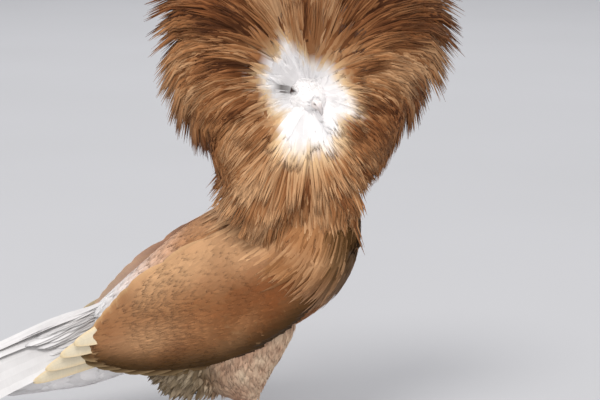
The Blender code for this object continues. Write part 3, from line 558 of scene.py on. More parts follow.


# Painted shade on the ruff and, below 0, painted light: broad darker places such as its upper corners and
# lower edges, paler places, and narrow dark lines for the parting and the gaps between locks. For each:
# angle, distance from the middle, how far each spreads along both, and how strong it is.
RUFF_LIGHT_AND_SHADE = np.array(
    [
        [-44, 76, 24, 34, 2.0], [46, 76, 24, 32, 2.4], [30, 60, 10, 18, 0.5], [-118, 62, 12, 30, 0.9],
        [112, 60, 18, 18, 0.8], [78, 76, 14, 20, -1.4], [-84, 78, 18, 20, -1.7], [-66, 58, 14, 18, 0.35],
        [74, 60, 14, 20, -0.5], [8, 66, 10, 30, -0.5], [-14, 70, 9, 30, -0.4], [166, 56, 26, 26, -0.15],
        [-148, 62, 14, 26, -0.9], [-100, 48, 10, 20, -0.4], [96, 40, 12, 16, -0.3], [-165, 96, 34, 24, -1.3],
        [-1.5, 58, 2.2, 36, 1.8], [-31, 43, 4, 11, 1.6], [-43, 64, 4, 11, 1.6], [-54, 77, 4, 9, 1.6],
        [-61, 37, 5, 8, 1.4], [-62, 51, 4, 9, 1.6], [-68, 66, 4, 10, 1.8], [-79, 82, 4, 9, 1.8],
        [-109, 34, 5, 7, 2.0], [-100, 47, 4, 8, 2.0], [-99, 58, 4, 8, 1.6], [-111, 64, 6, 12, 0.5],
        [84, 62, 4, 14, 1.4], [66, 48, 4, 10, 1.2], [98, 52, 4, 12, 1.4], [30, 46, 4, 14, 1.2],
    ]
)
# Painted shadows within the white: a grey slit where the near eye lies deep among the feathers, and small
# grey places between feathers. For each: angle, distance, how far each spreads along both, and strength.
SHADOW_SMEARS = np.array(
    [
        [-67.5, 16.3, 6, 4, 1.5], [103, 19, 15, 5, 0.2], [-130, 14, 6, 5, 0.3], [124, 26, 7, 5, 0.35],
        [-52, 14, 10, 4, 0.15],
    ]
)


def patches(table, angle, far):
    """The sum of a table's soft patches at a place on the ruff, each s*exp(-a^2-b^2)."""
    total = np.zeros(np.shape(angle))
    for centre, out, wide, deep, strength in table:
        turn = (angle - centre + 180) % 360 - 180
        total = total + strength * np.exp(-((turn / wide) ** 2) - ((far - out) / deep) ** 2)
    return total


def ruff_colour(points, tone, behind=0.0):
    """White round the face, then cream and honey, then ochre streaked with rust by the tuft's own tone, which
    carries painted shade. Broad places are darkened as painted shade or paled as painted light, and grey
    places in the white are painted shadows. Where behind is 1, the ruff has no white."""
    across, _ = ruff_axes()
    rel = points - RUFF_AT
    x, z = rel @ across, rel[..., 2]
    angle = np.degrees(np.arctan2(x, z))
    far = np.hypot(x, z)
    past = (far - reading(WHITE_EDGE, angle) + 3.0 * ripple(points, 16, 5)) / reading(FADE, angle)
    tone = tone + 1.15 * patches(RUFF_LIGHT_AND_SHADE, angle, far)
    base = mix(OCHRE, RUST, np.clip(0.30 + 0.34 * tone + 0.40 * ripple(points, 55, 6), 0, 1))
    base = mix(base, TAN, np.clip(-0.05 - 0.38 * tone + 0.3 * ripple(points, 36, 7), 0, 0.8))
    base = mix(base, SHADOW_BROWN, np.clip(0.42 * tone - 0.35, 0, 0.85))
    colour = mix(WHITE, CREAM, step(past, 0.05, 0.35))
    colour = mix(colour, HONEY, step(past, 0.2, 0.55))
    colour = mix(colour, SHADOW_SMOKE, np.clip(patches(SHADOW_SMEARS, angle, far), 0, 0.85))
    return mix(colour, base, np.maximum(step(past, 0.4, 0.9), behind))


# Shared shader groups and the finishes


def shader_group(name, inputs, outputs):
    """An empty shader node group with its sockets, given as name, kind and value."""
    group = bpy.data.node_groups.new(name, "ShaderNodeTree")
    for label, kind, value in inputs:
        socket = group.interface.new_socket(name=label, in_out="INPUT", socket_type=kind)
        if value is not None:
            socket.default_value = value
    for label, kind in outputs:
        group.interface.new_socket(name=label, in_out="OUTPUT", socket_type=kind)
    enter = group.nodes.new("NodeGroupInput")
    leave = group.nodes.new("NodeGroupOutput")
    return group, enter, leave


class Tree:
    """Adds nodes to a shader tree and joins them. The methods named for a result return its socket."""

    def __init__(self, tree):
        self.tree = tree

    def put(self, socket, value):
        """A link where value is a socket, else the socket's own value, with a fourth number for colours."""
        if isinstance(value, bpy.types.NodeSocket):
            self.tree.links.new(value, socket)
        else:
            socket.default_value = (*value, 1) if isinstance(value, np.ndarray) else value

    def feed(self, node, given):
        for key, value in given.items():
            self.put(node.inputs[key], value)

    def node(self, kind, given=None, **settings):
        made = self.tree.nodes.new("ShaderNode" + kind)
        for key, value in settings.items():
            setattr(made, key, value)
        self.feed(made, given or {})
        return made

    def attribute(self, name, output="Vector"):
        return self.node("Attribute", attribute_name=name).outputs[output]

    def place(self):
        return self.node("TexCoord").outputs["Object"]

    def maths(self, operation, a, b=0.0, c=0.0, clamp=False):
        return self.node("Math", {0: a, 1: b, 2: c}, operation=operation, use_clamp=clamp).outputs[0]

    def swing(self, value, size):
        """size * (value - 0.5)"""
        return self.maths("MULTIPLY", self.maths("SUBTRACT", value, 0.5), size)

    def span(self, value, low, high, start=0.0, end=1.0):
        """low where value is at start or below, high at end or above, and a straight line between."""
        given = {"Value": value, "From Min": start, "From Max": end, "To Min": low, "To Max": high}
        return self.node("MapRange", given).outputs[0]

    def noise(self, place, scale, detail, roughness=0.5):
        given = {"Vector": place, "Scale": scale, "Detail": detail, "Roughness": roughness}
        return self.node("TexNoise", given).outputs[0]

    def blend(self, share, a, b):
        return self.node("Mix", {0: share, 6: a, 7: b}, data_type="RGBA").outputs[2]

    def plume(self, value):
        """The mesh's own colours, made lighter or darker by value."""
        return self.tinted(self.attribute("plume", "Color"), value)

    def tinted(self, colour, value, saturation=1.0):
        given = {"Value": value, "Saturation": saturation, "Color": colour}
        return self.node("HueSaturation", given).outputs[0]

    def bump(self, height, strength, distance):
        given = {"Strength": strength, "Distance": distance, "Height": height}
        return self.node("Bump", given).outputs[0]


def barb_group():
    """Fine streaks that slant off a feather's shaft, from its place in the vane: a noise stretched
    along the barbs, with a wavering second one for splits, as a mask. A second mask marks the shaft."""
    group, enter, leave = shader_group(
        "barbs",
        [
            ("Vane", "NodeSocketVector", None),
            ("Pitch", "NodeSocketFloat", 1.6),
            ("Slant", "NodeSocketFloat", 2.2),
            ("Split", "NodeSocketFloat", 0.35),
        ],
        [("Mask", "NodeSocketFloat"), ("Shaft", "NodeSocketFloat")],
    )
    tree = Tree(group)
    parts = tree.node("SeparateXYZ", {0: enter.outputs["Vane"]})
    off = tree.maths("ABSOLUTE", parts.outputs[0])
    run = tree.maths("SUBTRACT", parts.outputs[1], tree.maths("MULTIPLY", off, enter.outputs["Slant"]))
    barb = tree.maths("MULTIPLY", run, enter.outputs["Pitch"])
    apart = tree.maths("MULTIPLY", parts.outputs[2], 40.0)
    place = tree.node("CombineXYZ", {0: barb, 1: off, 2: apart}).outputs[0]
    split = tree.swing(tree.noise(place, 0.23, 1.0), enter.outputs["Split"])
    mask = tree.maths("ADD", tree.noise(place, 1.0, 3.0, 0.6), split, clamp=True)
    tree.feed(leave, {"Mask": mask, "Shaft": tree.span(off, 1.0, 0.0, 0.03, 0.09)})
    return group


def mottle_group():
    """Soft patches and a fine grain over the bird, each a noise on its place in space, as two masks."""
    group, enter, leave = shader_group(
        "mottle",
        [
            ("Place", "NodeSocketVector", None),
            ("Patch", "NodeSocketFloat", 45.0),
            ("Grain", "NodeSocketFloat", 420.0),
        ],
        [("Mask", "NodeSocketFloat"), ("Grain", "NodeSocketFloat")],
    )
    tree = Tree(group)
    for mask, scale in (("Mask", "Patch"), ("Grain", "Grain")):
        tree.put(leave.inputs[mask], tree.noise(enter.outputs["Place"], enter.outputs[scale], 2.0))
    return group


BARBS, MOTTLE = barb_group(), mottle_group()


def new_finish(name, given=None):
    """A material, its tree and its shader, which is given these values."""
    finish = bpy.data.materials.new(name)
    finish.use_nodes = True
    tree, shader = Tree(finish.node_tree), finish.node_tree.nodes["Principled BSDF"]
    tree.feed(shader, given or {})
    return finish, tree, shader


def plumage(name, streak, relief, roughness, sheen, shaft=0.0, pitch=1.6, slant=2.2):
    """The coat: the colour of each feather, streaked along its barbs and mottled over the bird. Its
    value is 0.92 plus 0.16 times the feather's own chance, plus the streaks and the mottling."""
    finish, tree, shader = new_finish(
        name, {"Sheen Weight": sheen, "Sheen Roughness": 0.45, "Specular IOR Level": 0.1}
    )
    vane = tree.attribute("vane")
    barbs = tree.node("Group", {"Vane": vane, "Pitch": pitch, "Slant": slant}, node_tree=BARBS)
    mottle = tree.node("Group", {"Place": tree.place()}, node_tree=MOTTLE)
    mask = barbs.outputs["Mask"]
    own = tree.maths("MULTIPLY_ADD", tree.node("SeparateXYZ", {0: vane}).outputs[2], 0.16, 0.92)
    value = tree.maths("ADD", own, tree.swing(mask, streak))
    shade = tree.plume(tree.maths("ADD", value, tree.swing(mottle.outputs["Mask"], 0.35)))
    if shaft:
        dark = tree.tinted(shade, 0.72, 0.8)
        shade = tree.blend(tree.maths("MULTIPLY", barbs.outputs["Shaft"], shaft), shade, dark)
    rough = tree.span(mask, roughness - 0.1, roughness + 0.1)
    tree.feed(shader, {"Base Color": shade, "Roughness": rough, "Normal": tree.bump(mask, relief, 0.0004)})
    return finish


def skin_finish():
    """Skin under the coat, with the coat's own markings and a short downy relief."""
    finish, tree, shader = new_finish("downy skin", {"Roughness": 0.9})
    given = {"Place": tree.place(), "Patch": 60.0, "Grain": 900.0}
    grain = tree.node("Group", given, node_tree=MOTTLE).outputs["Grain"]
    shade = tree.plume(tree.span(grain, 0.75, 1.1))
    tree.feed(shader, {"Base Color": shade, "Normal": tree.bump(grain, 0.6, 0.0006)})
    return finish


def horn_finish(name, roughness, grain):
    """Horn of the bill and claws: its own colours with fine growth lines and a dull polish."""
    finish, tree, shader = new_finish(name)
    lines = tree.noise(tree.place(), grain, 4.0, 0.65)
    shade = tree.plume(tree.span(lines, 0.8, 1.15))
    rough = tree.span(lines, roughness - 0.1, roughness + 0.12)
    tree.feed(shader, {"Base Color": shade, "Roughness": rough, "Normal": tree.bump(lines, 0.35, 0.0002)})
    return finish


def eye_finish():
    """The eye by its polar angle and turn: a black pupil, a dark garnet iris with spokes and a black rim,
    under a wet gloss."""
    finish, tree, shader = new_finish("eye", {"Roughness": 0.06, "Coat Weight": 1.0})
    polar, turn, _ = tree.node("SeparateXYZ", {0: tree.attribute("vane")}).outputs
    around, outwards = tree.maths("MULTIPLY", turn, 14.0), tree.maths("MULTIPLY", polar, 2.0)
    spoke = tree.node("CombineXYZ", {0: around, 1: outwards}).outputs[0]
    iris = tree.blend(tree.noise(spoke, 2.0, 3.0), IRIS_SHADE, IRIS_LIGHT)
    inner = tree.blend(tree.span(polar, 0.0, 1.0, 0.29, 0.33), PUPIL, iris)
    shade = tree.blend(tree.span(polar, 0.0, 1.0, 0.62, 0.72), inner, IRIS_RIM)
    tree.feed(shader, {"Base Color": shade})
    return finish


def leg_finish():
    """Scaly leg skin: small plates of the mesh's own colours, darker in the creases between them."""
    finish, tree, shader = new_finish("leg skin")
    place = tree.place()
    cells = tree.node("TexVoronoi", {"Vector": place, "Scale": 900.0}, feature="DISTANCE_TO_EDGE")
    crease = tree.span(cells.outputs[0], 0.55, 1.0, 0.0, 0.12)
    noise = tree.noise(place, 350.0, 3.0)
    shade = tree.plume(tree.maths("MULTIPLY", crease, tree.span(noise, 0.75, 1.25)))
    rough = tree.span(noise, 0.4, 0.65)
    tree.feed(shader, {"Base Color": shade, "Roughness": rough, "Normal": tree.bump(crease, 0.5, 0.0002)})
    return finish


RUFF_FINISH = plumage("ruff plumage", 0.34, 0.20, 0.66, 0.03, pitch=0.5, slant=0.6)
WHITE_FINISH = plumage("white plumage", 0.12, 0.10, 0.75, 0.10, pitch=0.5, slant=0.6)
BODY_FINISH = plumage("body plumage", 0.28, 0.15, 0.70, 0.03, pitch=0.9, slant=1.2)
WING_FINISH = plumage("wing plumage", 0.26, 0.14, 0.62, 0.03, shaft=0.2)
TAIL_FINISH = plumage("tail plumage", 0.10, 0.15, 0.65, 0.10, shaft=0.12)
SKIN_FINISH = skin_finish()
BILL_FINISH = horn_finish("bill horn", 0.42, 900.0)
CLAW_FINISH = horn_finish("claw horn", 0.35, 1400.0)
EYE_FINISH = eye_finish()
LEG_FINISH = leg_finish()


def dress(made, slot, *nodes):
    """A piece that rides on the bird and stands for these nodes. slot is not used."""
    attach(made, "root")
    if nodes:
        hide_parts(*nodes)


def unwrap(u, v):
    """Places on the unwrap from two shares of a surface, with a margin round the map."""
    return np.stack([0.02 + 0.96 * u, 0.02 + 0.96 * v], -1)


# Skin


def ring_grid(surface, stations, sides):
    """Points and faces of a closed tube whose rings are the surface at each station and turn."""
    points = surface(*grid(stations, turns(sides)))
    return points.reshape(-1, 3), swept_faces(1, len(stations), sides)


def thigh_point(side, at, turn, lift=0.0):
    """The feathered thigh: ovals down its length, tipped forwards, raised by lift."""
    rows = smooth_rows(THIGH, at)
    x = rows[..., 0] + (rows[..., 3] + lift) * np.cos(turn)
    y = side * (LEG_SPREAD + rows[..., 1]) + (rows[..., 4] + lift) * np.sin(turn)
    z = rows[..., 2] + 0.25 * (rows[..., 3] + lift) * np.cos(turn)
    return np.stack([x, y, z], -1)


def wing_arm(side, at, turn, shrink):
    """The arm of the folded wing: a flattened tube back from the shoulder, an oval from the wing's
    lower edge to its upper one at each u, drawn in by shrink."""
    low, top = reading(WING_LOW, at) + shrink, reading(WING_TOP, at) - shrink
    v = (low + top) / 2 - (top - low) / 2 * np.cos(turn)
    thick = (WING_THICK - 2 * shrink) / 2 * np.minimum(1, 0.3 + (at + 9) / 30)
    lift = -1.2 - WING_THICK / 2 + thick * np.sin(turn)
    return wing_point(side, at, v, lift)


# How far the under-tail coverts hang below the tail's own line, and their half width, along the tail.
UNDER_DEPTH = np.array([[-26, 44], [0, 48], [20, 49], [45, 48], [68, 42.5], [92, 35], [106, 29]], float)
UNDER_HALF = np.array([[-26, 24], [20, 25], [60, 23], [106, 27]], float)
UNDER_TOP = 15.0


def under_tail(across, far, lift=0.0):
    """The belly of the under-tail coverts, far along the tail and across it from -1 to 1: it hangs from
    15 mm below the tail to its depth as sqrt(1-0.85*across^2), raised outwards by lift."""
    depth = UNDER_TOP + (reading(UNDER_DEPTH, far) + lift - UNDER_TOP) * np.sqrt(1 - 0.85 * across**2)
    points = tail_point(np.zeros_like(depth), far + 0 * depth, depth)
    points[..., 1] = across * (reading(UNDER_HALF, far) + lift)
    return points


def under_core(at, turn):
    """The filled core of the under-tail: ovals along the tail between 8 mm and the coverts' depth less
    7 mm below it, drawn together at the far end."""
    far = -26 + 112 * at
    close = np.sqrt(np.clip(1 - at**6, 0.02, 1))
    low = reading(UNDER_DEPTH, far) - 7
    points = tail_point(np.zeros_like(far), far, (low + 8) / 2 - (low - 8) / 2 * close * np.cos(turn))
    points[..., 1] = 0.72 * reading(UNDER_HALF, far) * close * np.sin(turn)
    return points


# The egg of loose plumage behind the legs: its middle, its half lengths, and how low its plumes hang.
VENT_AT = np.array([-47.0, 0.0, 58.0])
VENT_RADII = np.array([27.0, 26.0, 22.0])
VENT_HANG = 27.0


def vent_point(at, turn, lift=0.0):
    """The loose plumage behind the legs: an egg whose rings stand along the body, turned from below."""
    polar = math.pi * at
    ring = np.stack([-np.cos(polar), np.sin(polar) * np.sin(turn), -np.sin(polar) * np.cos(turn)], -1)
    return VENT_AT + ring * (VENT_RADII + lift)


# How far the skin lies below the body's surface, and the cell of the remesh that merges it.
COAT_DEPTH = 1.6
SKIN_VOXEL = 1.35


def build_skin():
    """One closed skin: the body, head, thighs, wing arms, vent and under-tail, each shrunk below its
    coat, merged through a voxel remesh and relaxed, so that no seam shows."""
    shells = [
        ring_grid(lambda at, turn: body_point(at, turn, -COAT_DEPTH), np.linspace(0, NECK_END, 60), 40),
        ring_grid(lambda at, turn: head_point(at, turn, -0.7), np.linspace(0, 7, 30), 32),
        ring_grid(lambda at, turn: vent_point(at, turn, -3.5), np.linspace(0.02, 0.98, 20), 28),
        ring_grid(under_core, np.linspace(0, 1, 30), 24),
    ]
    for side in SIDES.values():
        thigh = lambda at, turn: thigh_point(side, at, turn, -COAT_DEPTH)
        arm = lambda at, turn: wing_arm(side, at, turn, 1.4)
        shells.append(ring_grid(thigh, np.linspace(0, 5, 24), 24))
        shells.append(ring_grid(arm, np.linspace(WING_LOW[0, 0], WING_PAD_END, 22), 20))
    faces, count = [], 0
    for points, parts in shells:
        faces += [part + count for part in parts]
        count += len(points)
    rough = add_mesh("skin_draft", np.concatenate([points for points, _ in shells]), faces, SKIN_FINISH)
    remesh = rough.modifiers.new("merge", "REMESH")
    remesh.mode, remesh.voxel_size = "VOXEL", SKIN_VOXEL * MM
    relax = rough.modifiers.new("relax", "SMOOTH")
    relax.factor, relax.iterations = 0.5, 5
    bpy.context.view_layer.update()
    mesh = bpy.data.meshes.new_from_object(rough.evaluated_get(bpy.context.evaluated_depsgraph_get()))
    bpy.data.objects.remove(rough)
    count = len(mesh.vertices)
    places = np.empty(count * 3, np.float32)
    mesh.vertices.foreach_get("co", places)
    points = places.reshape(-1, 3).astype(float) / MM - SHIFT
    corners = np.empty(len(mesh.loops), np.int32)
    mesh.loops.foreach_get("vertex_index", corners)
    near_head = step(30 - np.linalg.norm(points - HEAD_AT, axis=-1), 0, 10) * step(points[:, 2], 205, 216)
    neck = step(points[:, 2], 176, 190)
    colour = mix(body_colour(points), RUST, 0.75 * neck)
    colour = mix(colour, WHITE * 0.96, near_head)
    turn = np.arctan2(points[:, 1], points[:, 2] - 100) / TAU + 0.5
    bake = unwrap(turn, np.clip((points[:, 0] + 130) / 220, 0, 1))
    made = add_mesh("skin", points, [corners.reshape(-1, 4)], SKIN_FINISH, colour, None, bake)
    bpy.data.meshes.remove(mesh)
    dress(made, "ochre_feather", "torso", "neck", "head", "thigh_left", "thigh_right")


# Coat of the body


def lie_over(surface, at, turn, length, share, sink, rise, veer, pace_step=0.02):
    """Paths that run from each root down a surface towards lower stations, length long, sunk at the
    root and raised at the tip, veering round it by veer radians."""
    here, near = surface(at, turn, 0.0), surface(at - pace_step, turn, 0.0)
    pace = pace_step / np.maximum(np.linalg.norm(here - near, axis=-1), 1e-4)
    a = at[:, None] - (pace * length)[:, None] * share
    t = turn[:, None] + veer[:, None] * share
    lift = sink[:, None] + (rise - sink)[:, None] * np.sin(math.pi / 2 * share**0.8)
    paths = surface(a, t, lift)
    normals = slope(lambda p, q: surface(p, q, lift), a, t, 0.02, 0.02)
    return paths, facing(normals, paths - surface(a, t, lift - 8.0))


def hidden_by_wing(points, margin):
    """True for places that the folded wings cover."""
    u, v = wing_uv(points)
    inside = (u > -4) & (u < 160) & (v > reading(WING_LOW, u) + margin) & (v < reading(WING_TOP, u) - margin)
    return inside & (np.abs(points[..., 1]) < reading(WING_HALF, u) - WING_CROWN * v * v + 2)


def body_coat():
    """Small feathers over the breast, back, belly and rump, longer to the rear."""
    rng = np.random.default_rng(21)
    count = 17000
    at = 0.25 + 7.6 * rng.random(count) ** 0.8
    turn = rng.uniform(0, TAU, count)
    roots = body_point(at, turn)
    wide = smooth_rows(BODY, at)[:, 6]
    keep = (rng.random(count) < wide / BODY[:, 6].max()) & ~hidden_by_wing(roots, 7)
    at, turn, roots = at[keep], turn[keep], roots[keep]
    count = len(at)
    share = np.linspace(0, 1, 4)[None]
    belly = 1 - step(roots[:, 2], 78, 100)
    rear = 1 - step(at, 0.5, 2.5)
    length = (15 + 5 * belly + 9 * rear) * rng.uniform(0.8, 1.25, count)
    length = np.minimum(length, 7 + 12 * at)
    sink, rise = np.full(count, -1.3), rng.uniform(0.0, 0.5, count)
    veer = rng.normal(0, 0.05, count)
    paths, normals = lie_over(body_point, at, turn, length, share, sink, rise, veer)
    half = (rng.uniform(1.7, 2.8, count) * (1 + 0.4 * rear))[:, None] * tuft_width(share, 0.5)
    tone = rng.normal(0, 1, count)[:, None, None]
    colour = body_colour(np.broadcast_to(roots[:, None], paths.shape)) * (1 + 0.07 * tone)
    bake = unwrap(turn / TAU, at / 10)
    front = at > 4.3
    for name, some in (("body_coat_front", front), ("body_coat_rear", ~front)):
        made = feathers(
            name, paths[some], normals[some], half[some], BODY_FINISH, colour[some], bake[some],
            TUFT_RING, half[some] * 0.14, seed=1,
        )
        dress(made, "ochre_feather")


def mantle():
    """Long soft feathers from the foot of the ruff down over the neck, breast, back and the wings' tops,
    laid along the body and pushed out of the wings."""
    rng = np.random.default_rng(24)
    count = 3000
    at, turn = rng.uniform(5.2, 8.3, count), rng.uniform(0, TAU, count)
    share = np.linspace(0, 1, 6)[None]
    length = rng.uniform(24, 40, count)
    rise = rng.uniform(0.2, 1.4, count)
    veer = rng.normal(0, 0.08, count)
    paths, normals = lie_over(body_point, at, turn, length, share, rise - 1.5, rise, veer)
    paths = settle(paths, np.repeat(rise + 0.6, 6), 0.0)
    tone = rng.normal(0, 1, count)[:, None]
    light = 0.1 + 0.6 * (1 - step(paths[..., 0], -30, 2)) + 0.4 * ripple(paths, 34, 9) - 0.1 * tone
    dark = 0.2 * tone + 0.25 + 0.4 * ripple(paths, 26, 10)
    colour = mix(mix(OCHRE, RUST, np.clip(dark, 0, 1)), TAN, np.clip(light, 0, 0.8))
    # Umber to the front is painted shade on the breast's shaded side, and olive with blush low down is
    # painted shade.
    colour = mix(colour, UMBER_SHADE, np.clip(0.95 * step(paths[..., 0], 16, 48) + 0.2 * tone, 0, 0.85))
    colour = mix(colour, mix(OLIVE_SHADE, BLUSH, 0.5), 0.6 * (1 - step(paths[..., 2], 92, 122)))
    half = rng.uniform(0.9, 1.7, count)[:, None] * tuft_width(share, 0.5)
    bake = unwrap(turn / TAU, at / 10)
    made = feathers("mantle", paths, normals, half, BODY_FINISH, colour, bake, TUFT_RING, half * 0.2, seed=9)
    dress(made, "ochre_feather")


def vent_coat():
    """Loose plumes that hang back and down behind the legs, over the vent's egg."""
    rng = np.random.default_rng(23)
    count = 1500
    at, turn = rng.uniform(0.1, 0.95, count), rng.uniform(-1.9, 1.9, count)
    out = unit(vent_point(at, turn) - VENT_AT)
    root = vent_point(at, turn, -3.0)
    share = np.linspace(0, 1, 5)[None, :, None]
    hang = unit(out * 0.35 + np.array([-0.55, 0.0, -0.7]) + rng.normal(0, 0.10, (count, 3)))
    length = rng.uniform(11, 20, count)[:, None, None]
    bow = 3.0 * np.sin(math.pi / 2 * share)
    paths = root[:, None] + hang[:, None] * (length * share) + out[:, None] * bow
    paths[..., 2] = np.maximum(paths[..., 2], VENT_HANG)
    half = rng.uniform(1.1, 2.0, count)[:, None] * tuft_width(share[..., 0], 0.5)
    tone = rng.normal(0, 1, count)[:, None, None]
    colour = mix(body_colour(paths), CREAM, 0.35 * rng.random(count)[:, None]) * (1 + 0.08 * tone)
    normals = np.broadcast_to(out[:, None], paths.shape)
    bake = unwrap(turn / TAU + 0.5, at)
    made = feathers(
        "vent_coat", paths, normals, half, BODY_FINISH, colour, bake, TUFT_RING, half * 0.25, seed=8
    )
    dress(made, "cream_feather")


def thigh_coat():
    """Loose, soft tufts that fall down the thighs, and hang free past the ankle by up to 5 mm."""
    rng = np.random.default_rng(22)
    for word, side in SIDES.items():
        count = 3200
        at = rng.uniform(0.0, 4.4, count)
        turn = rng.uniform(0, TAU, count)
        keep = rng.random(count) < smooth_rows(THIGH, at)[:, 3] / THIGH[:, 3].max()
        at, turn = at[keep], turn[keep]
        count = len(at)
        share = np.linspace(0, 1, 4)[None]
        surface = lambda a, t, lift: thigh_point(side, a, t, lift)
        length = rng.uniform(11, 20, count) * (1 - 0.45 * step(at, 2.5, 4.4))
        here, near = surface(at, turn, 0.0), surface(at + 0.02, turn, 0.0)
        pace = 0.02 / np.linalg.norm(here - near, axis=-1)
        down = at[:, None] + (pace * length)[:, None] * share
        a = np.minimum(down, 5.0)
        t = turn[:, None] + rng.normal(0, 0.12, count)[:, None] * share
        lift = -1.5 + (1.5 + rng.uniform(0.2, 2.4, count))[:, None] * share
        paths = surface(a, t, lift)
        drop = np.maximum(0, down - 5.0) / np.maximum(pace[:, None], 1e-4)
        paths[..., 2] -= np.minimum(drop, 5.0)
        normals = unit(paths - surface(a, t, lift - 8.0))
        half = rng.uniform(1.1, 2.0, count)[:, None] * tuft_width(share, 0.45)
        tone = rng.normal(0, 1, count)[:, None, None]
        colour = body_colour(paths) * (1 + 0.08 * tone)
        bake = unwrap(turn / TAU, at / 5)
        made = feathers(
            "thigh_coat_" + word, paths, normals, half, BODY_FINISH, colour, bake, TUFT_RING, half * 0.35,
            seed=2 + side,
        )
        dress(made, "cream_feather")


# Wings


def wing_normal(side, u, v):
    """Outward normals of the wing's face."""
    return facing(slope(lambda a, b: wing_point(side, a, b), u, v, 1.0, 1.0), side * LEFT)


def wing_feathers(
    name, side, root, tip, width, lift, tilt, shape, colour, stations, thick, seed,
    ring=VANE_RING, crown=0.09, curve=lambda share: np.sin(math.pi / 2 * share), edge=0.0,
):
    """Vanes of a wing from root to tip, both (u, v), over its face, with stations closer together to
    the tip. lift runs from root to tip by curve, tilt leans each vane's upper edge out, and edge is how
    much buff there is along both rims."""
    share = 1 - (1 - np.linspace(0, 1, stations)[None]) ** 1.5
    u = root[:, 0:1] + (tip[:, 0:1] - root[:, 0:1]) * share
    v = root[:, 1:2] + (tip[:, 1:2] - root[:, 1:2]) * share
    rise = lift[:, 0:1] + (lift[:, 1:2] - lift[:, 0:1]) * curve(share)
    paths = wing_point(side, u, v, rise)
    normals = wing_normal(side, u, v)
    around = wing_point(side, u, v + 1.0) - wing_point(side, u, v - 1.0)
    normals = unit(normals + unit(around) * math.tan(math.radians(tilt)))
    half = width[:, None] / 2 * shape(share)
    plume = mix(colour(u, v, share, seed)[:, :, None], BUFF, edge * ring[None, None, :, 0] ** 4)
    bake = unwrap(np.clip((root[:, 0] + 10) / 180, 0, 1), np.clip((root[:, 1] + 40) / 90, 0, 1))
    return feathers(name, paths, normals, half, WING_FINISH, plume, bake, ring, half * crown, thick, seed)


# On the wing's face, as u and v: the tips of the flights and of the primaries behind them, and the
# place far behind at which every covert aims.
FLIGHT_TIPS = np.array([[131, -31], [149, -23], [166, -12], [176, -2], [169, 7], [157, 15], [143, 22]], float)
PRIMARY_TIPS = np.array([[209.5, -4.5], [199, 0.5], [187, 5.5], [176, 9.5]], float)
WING_AIM = np.array([235.0, 0.0])


def low_edge(u):
    """The folded wing's lower edge, then the line through the lower flights' tips."""
    return np.where(u < 122, reading(WING_LOW, u), np.interp(u, FLIGHT_TIPS[:4, 0], FLIGHT_TIPS[:4, 1]))


def top_edge(u):
    """The folded wing's upper edge, then the line through the upper flights' tips."""
    upper = FLIGHT_TIPS[:2:-1]
    return np.where(u < 132, reading(WING_TOP, u), np.interp(u, upper[:, 0], upper[:, 1]))


def wing_colour(u, v, share, seed):
    """Ochre, rustier to the rear, tan along the top and umber along the lower edge as painted shade, each
    vane a little different."""
    rng = np.random.default_rng(seed)
    own = rng.normal(0, 1, len(u))[:, None]
    place = np.stack([u, v, np.zeros_like(u)], -1)
    patch = ripple(place, 48, 8)
    base = mix(OCHRE, RUST, np.clip(0.42 + 0.5 * patch + 0.10 * own, 0, 1))
    base = mix(base, TAN, np.clip(0.6 * step(v - 0.06 * u, 0, 26) - 0.25 * patch, 0, 1))
    base = mix(base, TAN, 0.5 * np.exp(-(((u - 135) / 30) ** 2) - ((v + 2) / 14) ** 2))
    base = mix(base, RUST, 0.6 * np.exp(-(((u - 52) / 36) ** 2) - ((v - 2) / 16) ** 2))
    base = mix(base, UMBER_SHADE, 0.95 * (1 - step(v - low_edge(u), 2, 24)) * step(u, 0, 40))
    return base * (0.9 + 0.05 * own[..., None])


def flight_colour(u, v, share, seed):
    """The wing's own colours, a little buff at the tips of the upper vanes."""
    base = wing_colour(u, v, share, seed)
    return mix(base, BUFF, 0.12 * step(share, 0.93, 1.0) * step(v, -14, 6))


def far_colour(u, v, share, seed):
    """The far wing's vanes, which show above the back: rosy to the top and the rear, and made much paler
    there than the near wing as painted light, though they lie in shade.
    """
    return mix(flight_colour(u, v, share, seed), ROSE_PAINTED_LIGHT, 0.85 * step(v, -12, 10) * step(u, 30, 90))


def primary_colour(u, v, share, seed):
    """Ivory primaries, straw to the shoulder and sand at the tip."""
    base = mix(STRAW, IVORY, 0.8 * step(u, 120, 175))
    return mix(base, SAND, 0.6 * step(share, 0.93, 1.0) * np.ones_like(u))


# What colours each wing's coverts and silk, and its flights.
WING_COLOURS = {"right": (wing_colour, flight_colour), "left": (far_colour, far_colour)}


def covert_rise(u):
    """How far the coverts' tips stand off the wing's face: more over its middle, less over the flights."""
    return 0.8 + 1.0 * step(u, 0, 50) - 2.1 * step(u, 80, 138)


def covert_rows():
    """Roots, tips and widths of the coverts: staggered rows from the shoulder back, longer and broader
    with each row, all aimed at one point far behind."""
    rng = np.random.default_rng(31)
    roots, tips, widths = [], [], []
    u, row = -4.0, 0
    while u < 100:
        long = 13 + 25 * step(u, 0, 80)
        wide = 9.5 + 9 * step(u, 5, 75)
        low, top = reading(WING_LOW, u) + 2.5, reading(WING_TOP, u) - 3.5
        count = max(3, int((top - low) / (wide * 0.42)))
        v = low + (top - low) * (np.arange(count) + 0.5 * (row % 2)) / (count - 0.5)
        root = np.stack([np.full(count, u) + rng.normal(0, 1.2, count), v], -1)
        aim = unit(WING_AIM - root)
        roots.append(root)
        tips.append(root + aim * (long * rng.uniform(0.82, 1.12, count))[:, None])
        widths.append(np.full(count, wide) * rng.uniform(0.92, 1.1, count))
        u += 0.24 * long + 1.0
        row += 1
    return np.concatenate(roots), np.concatenate(tips), np.concatenate(widths)


